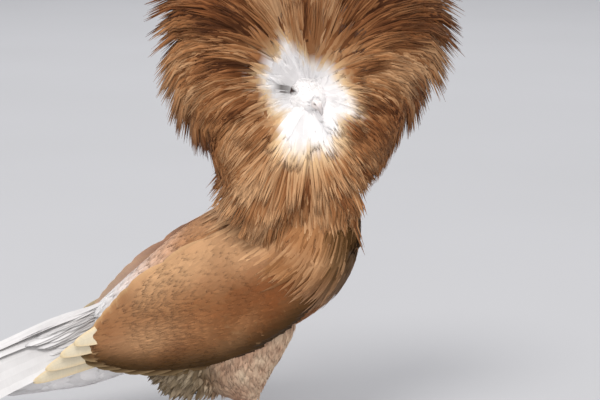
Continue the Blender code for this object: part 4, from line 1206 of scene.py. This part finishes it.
def wing_silk(word, side):
    """Fine silky tufts over the coverts and most of the flights, aimed as they are."""
    seed = 75 + side
    rng = np.random.default_rng(seed)
    count = 4200
    u = -7 + 158 * rng.random(count) ** 0.95
    low, top = low_edge(u) + 1.0, top_edge(u) - 0.5
    v = low + (top - low) * rng.random(count)
    root = np.stack([u, v], -1)
    aim = unit(WING_AIM - root)
    turn = rng.normal(0, 0.06, count)
    aim = np.stack([aim[:, 0] - aim[:, 1] * turn, aim[:, 1] + aim[:, 0] * turn], -1)
    tip = root + aim * (rng.uniform(15, 25, count) + 10 * step(u, 20, 90))[:, None]
    over, under = tip[:, 1] - low_edge(tip[:, 0]), top_edge(tip[:, 0]) - tip[:, 1]
    inside = (tip[:, 0] < 168) & (over > 2) & (under > 0.5)
    keep = np.where(u > 96, inside & (rng.random(count) < 0.7), True)
    root, tip, u = root[keep], tip[keep], u[keep]
    count = len(u)
    bow = 0.6 * step(tip[:, 1], 0, 18)
    start, end = covert_rise(u) + 0.2 + bow, covert_rise(tip[:, 0] - 14) + 0.6 + bow
    lift = np.stack([start, end + rng.uniform(0.0, 0.25, count)], -1)
    made = wing_feathers(
        "silk_" + word, side, root, tip, rng.uniform(2.6, 4.8, count), lift, 0,
        lambda share: tuft_width(share, 0.5), WING_COLOURS[word][0], 4, 0.0, seed, TUFT_RING, 0.06,
    )
    dress(made, "ochre_feather")


# Single feathers that stand out on the wing: where each starts and ends (u, v), its width, and whether it is
# a dark slit of painted shadow between feathers or, at 1, a pale edge.
WING_MARKS = np.array(
    [
        [132, 16, 149, 15, 1.3, 0], [140, 11, 153, 10, 1.2, 0], [111, 9, 130, -0.5, 1.3, 0],
        [133, 1, 145, -3, 1.3, 0], [130, -6, 138, -8.5, 1.1, 0], [96, -22, 121, -25, 1.1, 0],
        [128, 18, 150, 18, 1.6, 1], [137, 13, 154, 12.4, 1.4, 1],
    ],
    float,
)


def wing_marks(word, side):
    """The few dark slits, painted shadow lines between feathers, and the pale edges of the wing, as thin
    single feathers over its silk.
    """
    root, tip, width, pale = WING_MARKS[:, :2], WING_MARKS[:, 2:4], WING_MARKS[:, 4], WING_MARKS[:, 5]
    base = covert_rise(tip[:, 0]) + 0.75
    own = mix(SHADOW_BROWN, TAN, pale)[:, None]
    tint = lambda u, v, share, seed: mix(wing_colour(u, v, share, seed), own, 0.75 * np.ones_like(u))
    made = wing_feathers(
        "wing_marks_" + word, side, root, tip, width, np.stack([base - 0.5, base], -1), 0,
        lambda share: tuft_width(share, 0.5, 0.15), tint, 8, 0.0, 90, TUFT_RING, 0.12,
    )
    dress(made, "ochre_feather")


def coverts(word, side):
    """The rows of coverts, their roots sunk in the wing and their tips at the coverts' rise."""
    rng = np.random.default_rng(40 + side)
    root, tip, width = covert_rows()
    rise = covert_rise(tip[:, 0]) + rng.uniform(-0.2, 0.2, len(root))
    lift = np.stack([np.full(len(root), -2.6), rise], -1)
    made = wing_feathers(
        "coverts_" + word, side, root, tip, width, lift, 3, vane_width, WING_COLOURS[word][0], 7, 0.12,
        50 + side, edge=0.12,
    )
    dress(made, "ochre_feather", "wing_" + word)


def flights(word, side):
    """Fourteen flight feathers fanned along the line of their tips, each over the one below."""
    count = 14
    at = np.linspace(0, len(FLIGHT_TIPS) - 1, count)
    root = np.stack([86 + 0.7 * at, -27 + 8.6 * at], -1)
    lift = np.stack([np.full(count, -3.6), -2.3 + 0.32 * at], -1)
    made = wing_feathers(
        "flights_" + word, side, root, smooth_rows(FLIGHT_TIPS, at), np.full(count, 19.0), lift, 4,
        lambda share: vane_width(share, 0.74, 0.4, 2.2), WING_COLOURS[word][1], 15, 0.2, 60 + side, edge=0.3,
    )
    dress(made, "ochre_feather")


def primaries(word, side):
    """The long primaries whose ends show behind the flights, risen from under them at the very end."""
    order = np.arange(len(PRIMARY_TIPS))
    root = np.stack([100 + 0 * order, -4 + 4.0 * order], -1)
    lift = np.stack([-7.4 + 0.4 * order, 1.8 + 0.5 * order], -1)
    made = wing_feathers(
        "primaries_" + word, side, root, PRIMARY_TIPS, np.full(len(order), 14.0), lift, 4,
        lambda share: vane_width(share, 0.6, 0.5, 1.5), primary_colour, 15, 0.3, 70 + side,
        curve=lambda share: share**2.2, edge=0.5,
    )
    dress(made, "white_feather")


def wings():
    """Both wings, layer by layer."""
    for word, side in SIDES.items():
        for layer in (coverts, flights, primaries, wing_silk, wing_marks):
            layer(word, side)


# Tail


def tail_vanes(fan, start, long, drop, width, lean, stations, shape):
    """Paths, normals and half widths of tail feathers, each leaned outwards by the slope lean, and how
    far from the tail's root each station is."""
    share = 1 - (1 - np.linspace(0, 1, stations)[None]) ** 1.4
    far = start[:, None] + (long - start)[:, None] * share
    paths = tail_point(fan[:, None] + 0 * far, far, drop[:, None] + 0 * far)
    ahead = unit(paths[:, -1] - paths[:, 0])
    above = facing(unit(np.cross(ahead, LEFT)), UP)
    tilt = np.sign(fan)[:, None] * lean(far)
    normals = unit(above[:, None] + LEFT * tilt[..., None])
    return paths, normals, width[:, None] / 2 * shape(share), far


def tail_fan():
    """Twelve white tail feathers in a stepped fan, each leaned so that it lies close under the next one
    inwards."""
    k = np.repeat(np.arange(TAIL_PAIRS), 2)
    side = np.tile([-1.0, 1.0], TAIL_PAIRS)
    count = len(k)
    spacing = TAIL_FAN / (TAIL_PAIRS - 0.5)
    fan = side * spacing * (k + 0.5)
    drop = 4.0 + TAIL_STEP * np.arange(count)
    close = lambda far: np.clip((2 * TAIL_STEP - 0.35) / (math.radians(spacing) * far.clip(8)), 0, 0.62)
    lean = lambda far: close(far) * np.where(k == 0, 0.5, 1.0)[:, None]
    shape = lambda share: vane_width(share, 0.84, 0.45, 2.4)
    paths, normals, half, far = tail_vanes(
        fan, np.full(count, 8.0), TAIL_LENGTH - 0.8 * k, drop, np.full(count, 23.0), lean, 14, shape
    )
    # Greyer towards the root: painted shade under the coverts.
    shade = mix(WHITE, GREY, 0.12 * (1 - step(far, 30, 90))) * TAIL_TONE
    bake = unwrap(fan / 50 + 0.5, k / 8)
    made = feathers(
        "tail_feathers", paths, normals, half, TAIL_FINISH, shade, bake, VANE_RING, half * 0.05, 0.25, seed=5
    )
    dress(made, "white_feather", "tail")


def tail_coverts():
    """White coverts over the root of the fan, lowered to its sides as fan^2, and a full belly of long
    ones below, laid over the under-tail's surface."""
    rng = np.random.default_rng(81)
    count = 320
    fan = rng.uniform(-22, 22, count)
    start = rng.uniform(-18, 36, count)
    long = start + rng.uniform(24, 38, count)
    lean = lambda far: 0.02 * np.abs(fan)[:, None]
    width = rng.uniform(9, 13, count)
    paths, normals, half, far = tail_vanes(fan, start, long, np.zeros(count), width, lean, 6, vane_width)
    tent = 0.036 * fan[:, None] ** 2
    sunk = 3.2 + tent - 3.0 * (1 - step(far, 0, 60)) + 0.9 * (1 - far / 70)
    paths = paths - UP * (sunk + rng.uniform(-0.4, 0.4, count)[:, None])[..., None]
    colour = mix(WHITE, BLUSH, 0.16 * rng.random(count)[:, None] * (1 - step(far, 20, 60))) * TAIL_TONE
    bake = unwrap(fan / 50 + 0.5, (start + 20) / 80)
    made = feathers(
        "tail_coverts_upper", paths, normals, half, TAIL_FINISH, colour, bake, VANE_RING, half * 0.1, 0.15,
        seed=6,
    )
    dress(made, "white_feather")
    count = 480
    across = rng.uniform(-1, 1, count)
    start = rng.uniform(-26, 62, count)
    share = 1 - (1 - np.linspace(0, 1, 6)[None]) ** 1.3
    far = np.minimum(start[:, None] + rng.uniform(30, 44, count)[:, None] * share, 106)
    spread = across[:, None] * (1 + 0.04 * share)
    lift = -3.0 + (3.2 + rng.uniform(0, 1.2, count))[:, None] * np.sin(math.pi / 2 * share)
    place = lambda a, b: under_tail(np.clip(a, -1.06, 1.06), b, lift)
    paths = place(spread, far)
    inside = tail_point(0 * far, far, 0 * far + 12)
    normals = facing(slope(place, spread, far, 0.02, 1.0), paths - inside)
    half = rng.uniform(4.5, 6.5, count)[:, None] * vane_width(share, 0.6, 0.5, 2.0)
    # Grey by chance for each covert, and more at its root as painted shade where the coverts overlap.
    colour = mix(WHITE, GREY, 0.35 * rng.random(count)[:, None] * (1 - 0.5 * share))
    bake = unwrap(across / 2.4 + 0.5, (start + 28) / 140)
    made = feathers(
        "tail_coverts_lower", paths, normals, half, TAIL_FINISH, colour, bake, VANE_RING, half * 0.1, 0.15,
        seed=7,
    )
    dress(made, "white_feather")


# Ruff


def ruff_tufts(
    start, end, layer, locks, each, seed, least=0.47, most=1.02, skew=2.2, bulk=1.0, width=1.0, stand=1.0
):
    """Paths, normals, half widths, colours and unwrap places of the ruff's fine tufts between two
    angles. They stand in locks: each lock has its own reach, depth, sway and tone, and its tufts draw
    together to its tip, where they end one after another. Where the ruff hangs, locks run on past its
    outline and settle on the body. bulk scales a lock, width a tuft, and stand how much of its own
    depth each keeps."""
    rng = np.random.default_rng(seed)
    layer = np.broadcast_to(layer, locks)
    angle = start + (end - start) * (np.arange(locks) + rng.uniform(0, 1, locks)) / locks
    angle = rng.permutation(angle)
    reach = most - (most - least) * rng.random(locks) ** skew
    reach = reach + step(np.abs(angle), 116, 150) * rng.uniform(-0.2, 0.0, locks) * (angle > 0)
    nape_side = 0.5 * (step(-angle, 124, 138) + step(-angle, 146, 164))
    hung = np.where(angle > 0, step(angle, 150, 172), nape_side)
    reach = reach + (most > 1) * hung * rng.uniform(0.05, 0.48, locks)
    lift = -rng.exponential(1.7, locks) + 1.2 + 4.0 * (1 - reach)
    tone = rng.normal(0, 0.9, locks) + 1.9 * (rng.random(locks) < 0.17)
    sway, phase = rng.normal(0, 1.8, locks), rng.uniform(0, TAU, locks)
    own = np.repeat(np.arange(locks), each)
    angle, layer, reach, lift, tone, sway, phase = (
        lock[own][:, None] for lock in (angle, layer, reach, lift, tone, sway, phase)
    )
    column = (len(own), 1)
    long = np.clip(reach * (1.03 - 0.22 * rng.random(column) ** 1.4), 0.16, 1.45)
    root = np.maximum(np.where(layer < 0.2, 0.02, 0.06), long - 0.82)
    t = np.linspace(0, 1, 6)[None]
    share = root + (long - root) * t
    spread = rng.uniform(-1, 1, column) * (1.2 + 4.4 * reach) * bulk
    slip = spread * (1 + 0.3 * t - 0.4 * t**2.5) + sway * np.sin(phase + 2.6 * t) * t
    slip = slip + rng.normal(0, 1.2, column) * t**2
    layers = layer * np.ones_like(share)
    side = np.where(layers > 0.5, 1.0, -1.0)
    rise = side * (5.5 * (share - long) + lift * (0.4 + 0.6 * t))
    rise = (rise + rng.uniform(-1.0, 1.0, column)) * stand + side * (3.6 - 1.6 * t) * (1 - stand)
    angles = np.broadcast_to(angle, share.shape)
    place = lambda a, s: ruff_place(a, s, layers, rise, slip)
    paths = place(angles, share)
    _, out = ruff_axes()
    normals = facing(slope(place, angles, share, 0.5, 0.01), out * side[..., None])
    hang = step(np.abs(angles), 108, 150)
    clear = (1.5 + 0.5 * lift).clip(0.5) * np.ones_like(share)
    settled = settle(paths, clear.reshape(-1), 0.9 * step(share, 0.35, 0.8) * hang)
    paths = mix(paths, settled, (hang > 0) * 1.0)
    half = width * rng.uniform(0.48, 0.98, column) * tuft_width(t, 0.5)
    # The lock's tone with painted shade: darker at the roots and where a lock lies deep, paler to the tips.
    tone_and_shade = 0.75 * tone - 0.28 * lift + 0.55 * rng.normal(0, 1, column) + 0.6 - 0.9 * t
    colour = ruff_colour(paths, tone_and_shade, layers < 0.2)
    turn = np.radians(angle[:, 0])
    far = 0.48 * (0.3 + 0.7 * reach[:, 0])
    return paths, normals, half, colour, unwrap(0.5 + far * np.sin(turn), 0.5 + far * np.cos(turn))


def ruff():
    """The hood above, the chain down the sides and front, the mane behind, the rim between face and
    back, and the short white ring round the head."""
    back, face = 0.0, 1.0
    rim = np.random.default_rng(120).uniform(0.15, 0.85, 170)
    ring = {"least": 0.2, "most": 0.46, "skew": 1.0, "bulk": 0.5, "width": 2.5, "stand": 0.15}
    parts = [
        ("hood_right", -HOOD_END, -1.0, face, 115, 35, {}, ["hood_right"]),
        ("hood_left", 1.0, HOOD_END, face, 115, 35, {}, ["hood_left"]),
        ("chain_right", -179, -HOOD_END, face, 120, 36, {}, ["chain_right"]),
        ("chain_left", HOOD_END, 179, face, 120, 36, {}, ["chain_left"]),
        ("mane_right", -180, 0, back, 100, 25, {}, ["mane"]),
        ("mane_left", 0, 180, back, 100, 25, {}, []),
        ("rim", -180, 180, rim, 170, 16, {"least": 0.86}, []),
        ("white_ring", -180, 180, face, 260, 10, ring, []),
    ]
    for n, (word, start, end, layer, locks, each, more, nodes) in enumerate(parts):
        paths, normals, half, colour, bake = ruff_tufts(start, end, layer, locks, each, 100 + n, **more)
        finish, crown = (WHITE_FINISH, 0.06) if more is ring else (RUFF_FINISH, 0.45)
        made = feathers(
            "ruff_" + word, paths, normals, half, finish, colour, bake, TUFT_RING, half * crown,
            seed=100 + n,
        )
        dress(made, "ochre_feather", *nodes)


def ruff_down_shadow():
    """The dense down at the feathers' roots, painted dark as the shade between them: a closed ring whose
    section is an ellipse in share and layer. It takes the ruff's own colours on the face near the head."""
    rows, sides = 72, 12
    angle, around = grid(np.linspace(-180, 180, rows, endpoint=False), turns(sides))
    share = 0.36 - 0.26 * np.cos(around)
    layer = 0.5 + 0.28 * np.sin(around)
    points = ruff_place(angle, share, layer)
    face = layer > 0.45
    near = 1 - step(np.linalg.norm(points - HEAD_AT, axis=-1), 34, 54)
    colour = mix(SHADOW_BROWN, ruff_colour(points, np.zeros_like(share), ~face), 0.3 + 0.7 * near * face)
    bake = unwrap(angle / 360 + 0.5, around / TAU)
    made = add_mesh("ruff_down_shadow", points, [band_faces(rows, sides)], SKIN_FINISH, colour, None, bake)
    dress(made, "ochre_feather")


# Head


def eye_centre(side):
    """The eyeball's middle, sunk so that it stands a little proud of the side of the head."""
    along, up = EYE_AT
    at = np.interp(along, HEAD[:, 0], np.arange(len(HEAD)))
    _, middle, high, _, wide = smooth_rows(HEAD, at)
    out = wide * math.sqrt(1 - ((up - middle) / high) ** 2)
    return in_head(along, side * (out - EYE_RADIUS + EYE_PROUD), up)


def face_coat():
    """Small white feathers over the head, tiny round the bill and longer to the nape. An ellipse round
    each eye's slit stays bare."""
    rng = np.random.default_rng(91)
    count = 5200
    at = rng.uniform(0.4, 6.95, count)
    turn = rng.uniform(0, TAU, count)
    keep = rng.random(count) < smooth_rows(HEAD, at)[:, 4] / 13
    roots = head_point(at, turn)
    for side in SIDES.values():
        off = (roots - (eye_centre(side) + head_axes()[1] * side * 2.4)) @ head_axes().T
        keep &= np.hypot(off[:, 0] / 2.5, off[:, 2] / 1.1) + (off[:, 1] * side < -3) * 9 > 1
    at, turn, roots = at[keep], turn[keep], roots[keep]
    count = len(at)
    share = np.linspace(0, 1, 4)[None]
    length = np.interp(at, [0.4, 2.5, 4.5, 6, 7], [13, 10, 7, 4.4, 3.0]) * rng.uniform(0.8, 1.2, count)
    sink = np.full(count, -0.8)
    rise = rng.uniform(0.2, 0.8, count) * np.interp(at, [0, 4, 7], [2.0, 0.8, 0.4])
    veer = rng.normal(0, 0.08, count)
    paths, normals = lie_over(head_point, at, turn, length, share, sink, rise, veer)
    width = np.interp(at, [0, 4, 7], [1.5, 1.1, 0.6]) * rng.uniform(0.8, 1.2, count)
    half = width[:, None] * tuft_width(share, 0.5)
    colour = mix(WHITE, GREY, 0.10 * rng.random(count))[:, None] * np.ones((1, 4, 1))
    bake = unwrap(turn / TAU, at / 7)
    made = feathers(
        "face_coat", paths, normals, half, WHITE_FINISH, colour, bake, TUFT_RING, half * 0.1, seed=91
    )
    dress(made, "white_feather")


def bill():
    """Upper and lower bill: arched ovals along a drooping line, the upper with a chalky swelling over each
    nostril and a slit below it, painted dark as the shade in its opening."""
    stations, sides = 46, 32
    at, turn = grid(np.linspace(0, len(BILL) - 1, stations), turns(sides))
    for name, sign in (("bill_upper", 1.0), ("bill_lower", -1.0)):
        along, middle, tall, wide = np.moveaxis(smooth_rows(BILL, at), -1, 0)
        if sign < 0:
            along = BILL[0, 0] + (along - BILL[0, 0]) * 0.86
            tall, wide = tall * 0.72, wide * 0.9
            middle = middle - 0.25 * (middle - BILL[0, 1])
        arch = np.sin(turn)
        reach = np.where(arch > 0, tall * np.abs(arch) ** 0.85, 0.18 * tall * arch)
        x = wide * np.sign(np.cos(turn)) * np.abs(np.cos(turn)) ** 0.9
        lean = np.degrees(np.arctan2(arch, np.abs(np.cos(turn))))
        swell = np.exp(-(((along - 16.8) / 2.4) ** 2) - ((lean - 48) / 26) ** 2)
        slit = np.exp(-(((along - 18.6) / 1.5) ** 2) - ((lean - 14) / 8) ** 2)
        colour = mix(PALE_HORN, GREY_HORN, step(along, 19, 26))
        if sign > 0:
            reach = reach + 1.1 * swell * np.abs(arch)
            x = x * (1 + 0.32 * swell - 0.22 * slit)
            colour = mix(mix(colour, CERE, swell), NOSTRIL_SHADE, np.clip(1.3 * slit, 0, 1))
        points = in_head(along, -sign * x, middle - 0.6 + sign * (0.15 + reach))
        faces = swept_faces(1, stations, sides)
        bake = unwrap(turn / TAU, at / len(BILL))
        made = add_mesh("horn_" + name, points, faces, BILL_FINISH, colour, None, bake)
        dress(made, "bill", name)


def ball_radius(polar):
    """The eyeball's radius by the angle from its front: a ball with a cornea that bulges as
    exp(-(polar/0.55)^2)."""
    return EYE_RADIUS + 0.35 * np.exp(-((polar / 0.55) ** 2))


def round_eye(side, radius, polar, turn):
    """Places at a radius from an eye's centre, polar from straight out of the head. turn winds from
    ahead on the left and from behind on the right, up first."""
    forward, left, up = head_axes()
    rim = forward * np.cos(turn)[..., None] * side + up * np.sin(turn)[..., None]
    out = left * side * np.cos(polar)[..., None] + np.sin(polar)[..., None] * rim
    return eye_centre(side) + radius[..., None] * out


# The lid's section, a closed loop: how far it is from the slit to its hidden skirt, and how far off
# the ball.
LID = np.array(
    [
        [0, 0.1], [0.03, 0.24], [0.1, 0.32], [0.22, 0.28], [0.4, 0.2], [0.6, 0.12], [0.8, 0.06], [1, 0.03],
        [1, 0.02], [0.8, 0.02], [0.55, 0.03], [0.3, 0.04], [0.12, 0.04], [0.02, 0.04],
    ],
    float,
)


# The slit's half length and half height, and where the skirt ends, as polar angles in radians.
SLIT_LONG, SLIT_TALL, LID_END = 0.95, 0.22, 2.1


def eyes():
    """Each eye: a ball with a bulging cornea, under a lid that lies over the ball and leaves a narrow
    slit open, an ellipse in polar angle."""
    rings, sides, rays = 28, 36, 56
    for word, side in SIDES.items():
        polar, turn = grid(np.linspace(0.02, math.pi - 0.02, rings), turns(sides))
        points = round_eye(side, ball_radius(polar), polar, turn)
        faces = [face[:, ::-1] for face in swept_faces(1, rings, sides)]
        gaze = np.stack([polar, turn, np.zeros_like(polar)], -1).reshape(-1, 3)
        bake = unwrap(polar / math.pi, turn / TAU)
        made = add_mesh("eyeball_" + word, points, faces, EYE_FINISH, None, gaze, bake)
        dress(made, "eye", "eye_" + word)
        turn, node = grid(turns(rays), np.arange(len(LID)))
        past, thick = LID[node, 0], LID[node, 1]
        opening = 1 / np.hypot(np.cos(turn) / SLIT_LONG, np.sin(turn) / SLIT_TALL)
        polar = opening + (LID_END - opening) * past
        fold = 0.05 * np.sin(11 * turn + 7 * past) * past
        points = round_eye(side, ball_radius(polar) + thick + fold, polar, turn)
        faces = [band_faces(rays, len(LID))[:, ::-1]]
        colour = mix(LID_EDGE, LID_SKIN, step(past, 0.05, 0.4))
        made = add_mesh("lid_" + word, points, faces, LEG_FINISH, colour, None, unwrap(turn / TAU, past))
        dress(made, "leg_skin")


# Legs


def limb(path, radii, sides, plate, seed):
    """A limb carried along a path: rings of the radius, raised into overlapping plates on the upper
    side by a saw of the length, and lightly pebbled below. With its points comes the saw, which is
    1 in the creases."""
    along = unit(np.gradient(path, axis=0))
    across = unit(np.cross(along, np.where(np.abs(along[:, 2:3]) > 0.8, np.array([[1.0, 0, 0]]), UP[None])))
    over = unit(np.cross(across, along))
    length = np.linalg.norm(np.gradient(path, axis=0), axis=1).cumsum()
    turn = turns(sides)
    saw = (length[:, None] / plate) % 1.0
    front = step(np.cos(turn), -0.1, 0.4)[None]
    pebble = 0.03 * np.sin(length[:, None] * 5.1 + 3 * turn[None] + seed) * (1 - front)
    radius = radii[:, None] * (1 + 0.10 * front * (1 - saw**3) - 0.03 + pebble)
    points = (
        path[:, None]
        + over[:, None] * (radius * np.cos(turn))[..., None]
        + across[:, None] * (radius * np.sin(turn))[..., None]
    )
    return points, saw * front


def joined_limbs(name, limbs, shade, finish):
    """One mesh of several limbs, none of it below the floor. shade gives a limb's colours from its
    creases and the share of its length."""
    parts, colours, faces, count = [], [], [], 0
    for path, radii, sides, plate, seed in limbs:
        points, crease = limb(path, radii, sides, plate, seed)
        points[..., 2] = np.maximum(points[..., 2], 0.05)
        parts.append(points.reshape(-1, 3))
        share = np.linspace(0, 1, len(path))[:, None] * np.ones(sides)
        colours.append(shade(crease, share).reshape(-1, 3))
        faces += [part + count for part in swept_faces(1, len(path), sides)]
        count += len(path) * sides
    bake = unwrap(np.linspace(0, 1, count), (np.arange(count) % sides) / sides)
    return add_mesh(name, np.concatenate(parts), faces, finish, np.concatenate(colours), None, bake)


def toe_root(side):
    """The place on the floor below the ankle where a foot's toes meet."""
    return (FOOT + LEFT * side * LEG_SPREAD) * np.array([1, 1, 0])


def leg_limbs(side):
    """The shank, which swells at both joints, and the four toes, which swell at each knuckle, taper as
    share^2 and close on a quarter circle."""
    place = LEFT * side * LEG_SPREAD
    top, bottom = ANKLE + place + UP * 1.5, FOOT + place + UP * 0.5
    share = np.linspace(0, 1, 64)
    radii = SHANK_RADIUS * (0.96 + 0.35 * np.exp(-((share / 0.14) ** 2)) + 0.22 * step(share, 0.78, 1.0))
    limbs = [(top + (bottom - top) * share[:, None], radii, 24, 3.4, 0)]
    share = np.linspace(0, 1, 60)
    for n, (angle, long) in enumerate(TOES.values(), 1):
        path = toe_root(side) + heading(side * angle) * (long * share)[:, None]
        path = path + UP * (2.55 - 0.75 * share)[:, None]
        knuckle = 0.10 * np.cos(TAU * share * (3 if angle < 100 else 2)) ** 2
        close = np.sqrt(np.clip(1 - ((share - 0.86) / 0.145).clip(0) ** 2, 0.02, 1))
        limbs.append((path, TOE_RADIUS * (1.06 - 0.28 * share**2 + knuckle) * close, 16, 2.6, n))
    return limbs


def claw_limbs(side):
    """The four claws, each from within its toe: bowed up as a sine and down to the floor as share^2,
    and thinned to a point. The plate is too long to show."""
    share = np.linspace(0, 1, 24)
    bow = UP * (0.9 * np.sin(math.pi * share) - 1.55 * share**2)[:, None]
    radii = 1.5 * np.sqrt(np.clip(1 - share**1.5, 0.01, 1))
    limbs = []
    for angle, long in TOES.values():
        ahead = heading(side * angle)
        start = toe_root(side) + ahead * (long - 1.5) + UP * 2.1
        path = start + ahead * ((CLAW_LENGTH + 1.4) * share)[:, None] + bow
        limbs.append((path, radii, 14, 1e6, 0))
    return limbs


def legs():
    """Both legs: shank and toes as one scaly mesh, red with darker creases, and the claws as another."""
    scaly = lambda crease, share: mix(LEG_RED, LEG_CREASE, step(crease, 0.75, 1.0))
    horny = lambda crease, share: mix(CLAW_ROOT, CLAW_TIP, share)
    for word, side in SIDES.items():
        made = joined_limbs("scaly_leg_" + word, leg_limbs(side), scaly, LEG_FINISH)
        dress(made, "leg_skin", "shank_" + word, "foot_" + word)
        made = joined_limbs("horn_claws_" + word, claw_limbs(side), horny, CLAW_FINISH)
        dress(made, "claw", *[f"claw_{word}_{toe}" for toe in TOES])


# Studio


FLOOR_FLAT, FLOOR_BEND = 7.0, 1.5


def floor():
    """A pale round floor, in metres, that turns up into a low wall far behind: r and z on a quarter
    circle."""
    sides, rings = 96, 20
    bow = np.linspace(0, math.pi / 2, 40)[1:]
    r = np.concatenate([np.linspace(0.05, FLOOR_FLAT, rings), FLOOR_FLAT + FLOOR_BEND * np.sin(bow)])
    z = np.concatenate([np.zeros(rings), FLOOR_BEND * (1 - np.cos(bow))])
    ring, turn = grid(np.arange(len(r)), turns(sides))
    points = np.stack([r[ring] * np.cos(turn), r[ring] * np.sin(turn), z[ring]], -1) / MM - SHIFT
    faces = [band_faces(len(r), sides, closed=False), np.arange(sides)[None]]
    finish, tree, shader = new_finish("pale floor", {"Roughness": 0.9})
    tone = tree.blend(tree.noise(tree.place(), 2.0, 2.0), FLOOR_SHADE, FLOOR_LIGHT)
    tree.feed(shader, {"Base Color": tone})
    add_mesh("floor", points, faces, finish)


def area_light(name, place, aim, power, size, colour=(1, 1, 1)):
    """A round light of that power in watts and size in metres, turned to its aim."""
    light = bpy.data.lights.new(name, "AREA")
    light.shape = "DISK"
    light.energy, light.size, light.color = power, size, colour
    made = bpy.data.objects.new(name, light)
    made.location = place
    made.rotation_mode = "QUATERNION"
    direction = np.array(aim, float) - np.array(place, float)
    made.rotation_quaternion = Vector(direction).to_track_quat("-Z", "Y")
    bpy.context.scene.collection.objects.link(made)


# The camera: where it aims, from which side, how far off in metres and its focal length in mm.
CAMERA_AIM = (np.array([16.0, 0.0, 157.0]) + SHIFT) * MM
CAMERA_AZIMUTH, CAMERA_ELEVATION, CAMERA_DISTANCE, CAMERA_LENS = -4.0, 12.0, 1.0, 91.8


def studio():
    """The floor, a pale sky, three round lights and the camera."""
    floor()
    scene = bpy.context.scene
    scene.view_settings.view_transform = "Standard"
    world = bpy.data.worlds.new("studio air")
    world.use_nodes = True
    sky = world.node_tree.nodes["Background"]
    sky.inputs[0].default_value, sky.inputs[1].default_value = (0.90, 0.905, 0.93, 1), 0.9
    scene.world = world
    area_light("key", (-0.30, -0.75, 1.9), (0.03, 0, 0.16), 23, 0.8, (1, 0.98, 0.95))
    area_light("fill", (-0.2, -2.0, 0.7), (0.03, 0, 0.2), 14, 1.4)
    area_light("back", (0.1, 2.4, 3.2), (0.1, 1.6, 0), 64, 2.5)
    a, e = math.radians(CAMERA_AZIMUTH), math.radians(CAMERA_ELEVATION)
    back = np.array([math.sin(a) * math.cos(e), -math.cos(a) * math.cos(e), math.sin(e)])
    lens = bpy.data.cameras.new("camera")
    lens.lens, lens.sensor_width, lens.clip_start = CAMERA_LENS, 36.0, 0.01
    camera = bpy.data.objects.new("camera", lens)
    camera.location = CAMERA_AIM + back * CAMERA_DISTANCE
    camera.rotation_mode = "QUATERNION"
    camera.rotation_quaternion = Vector(-back).to_track_quat("-Z", "Y")
    scene.collection.objects.link(camera)
    scene.camera = camera


build_skin()
body_coat()
mantle()
vent_coat()
thigh_coat()
wings()
tail_fan()
tail_coverts()
ruff()
ruff_down_shadow()
face_coat()
bill()
eyes()
legs()
studio()
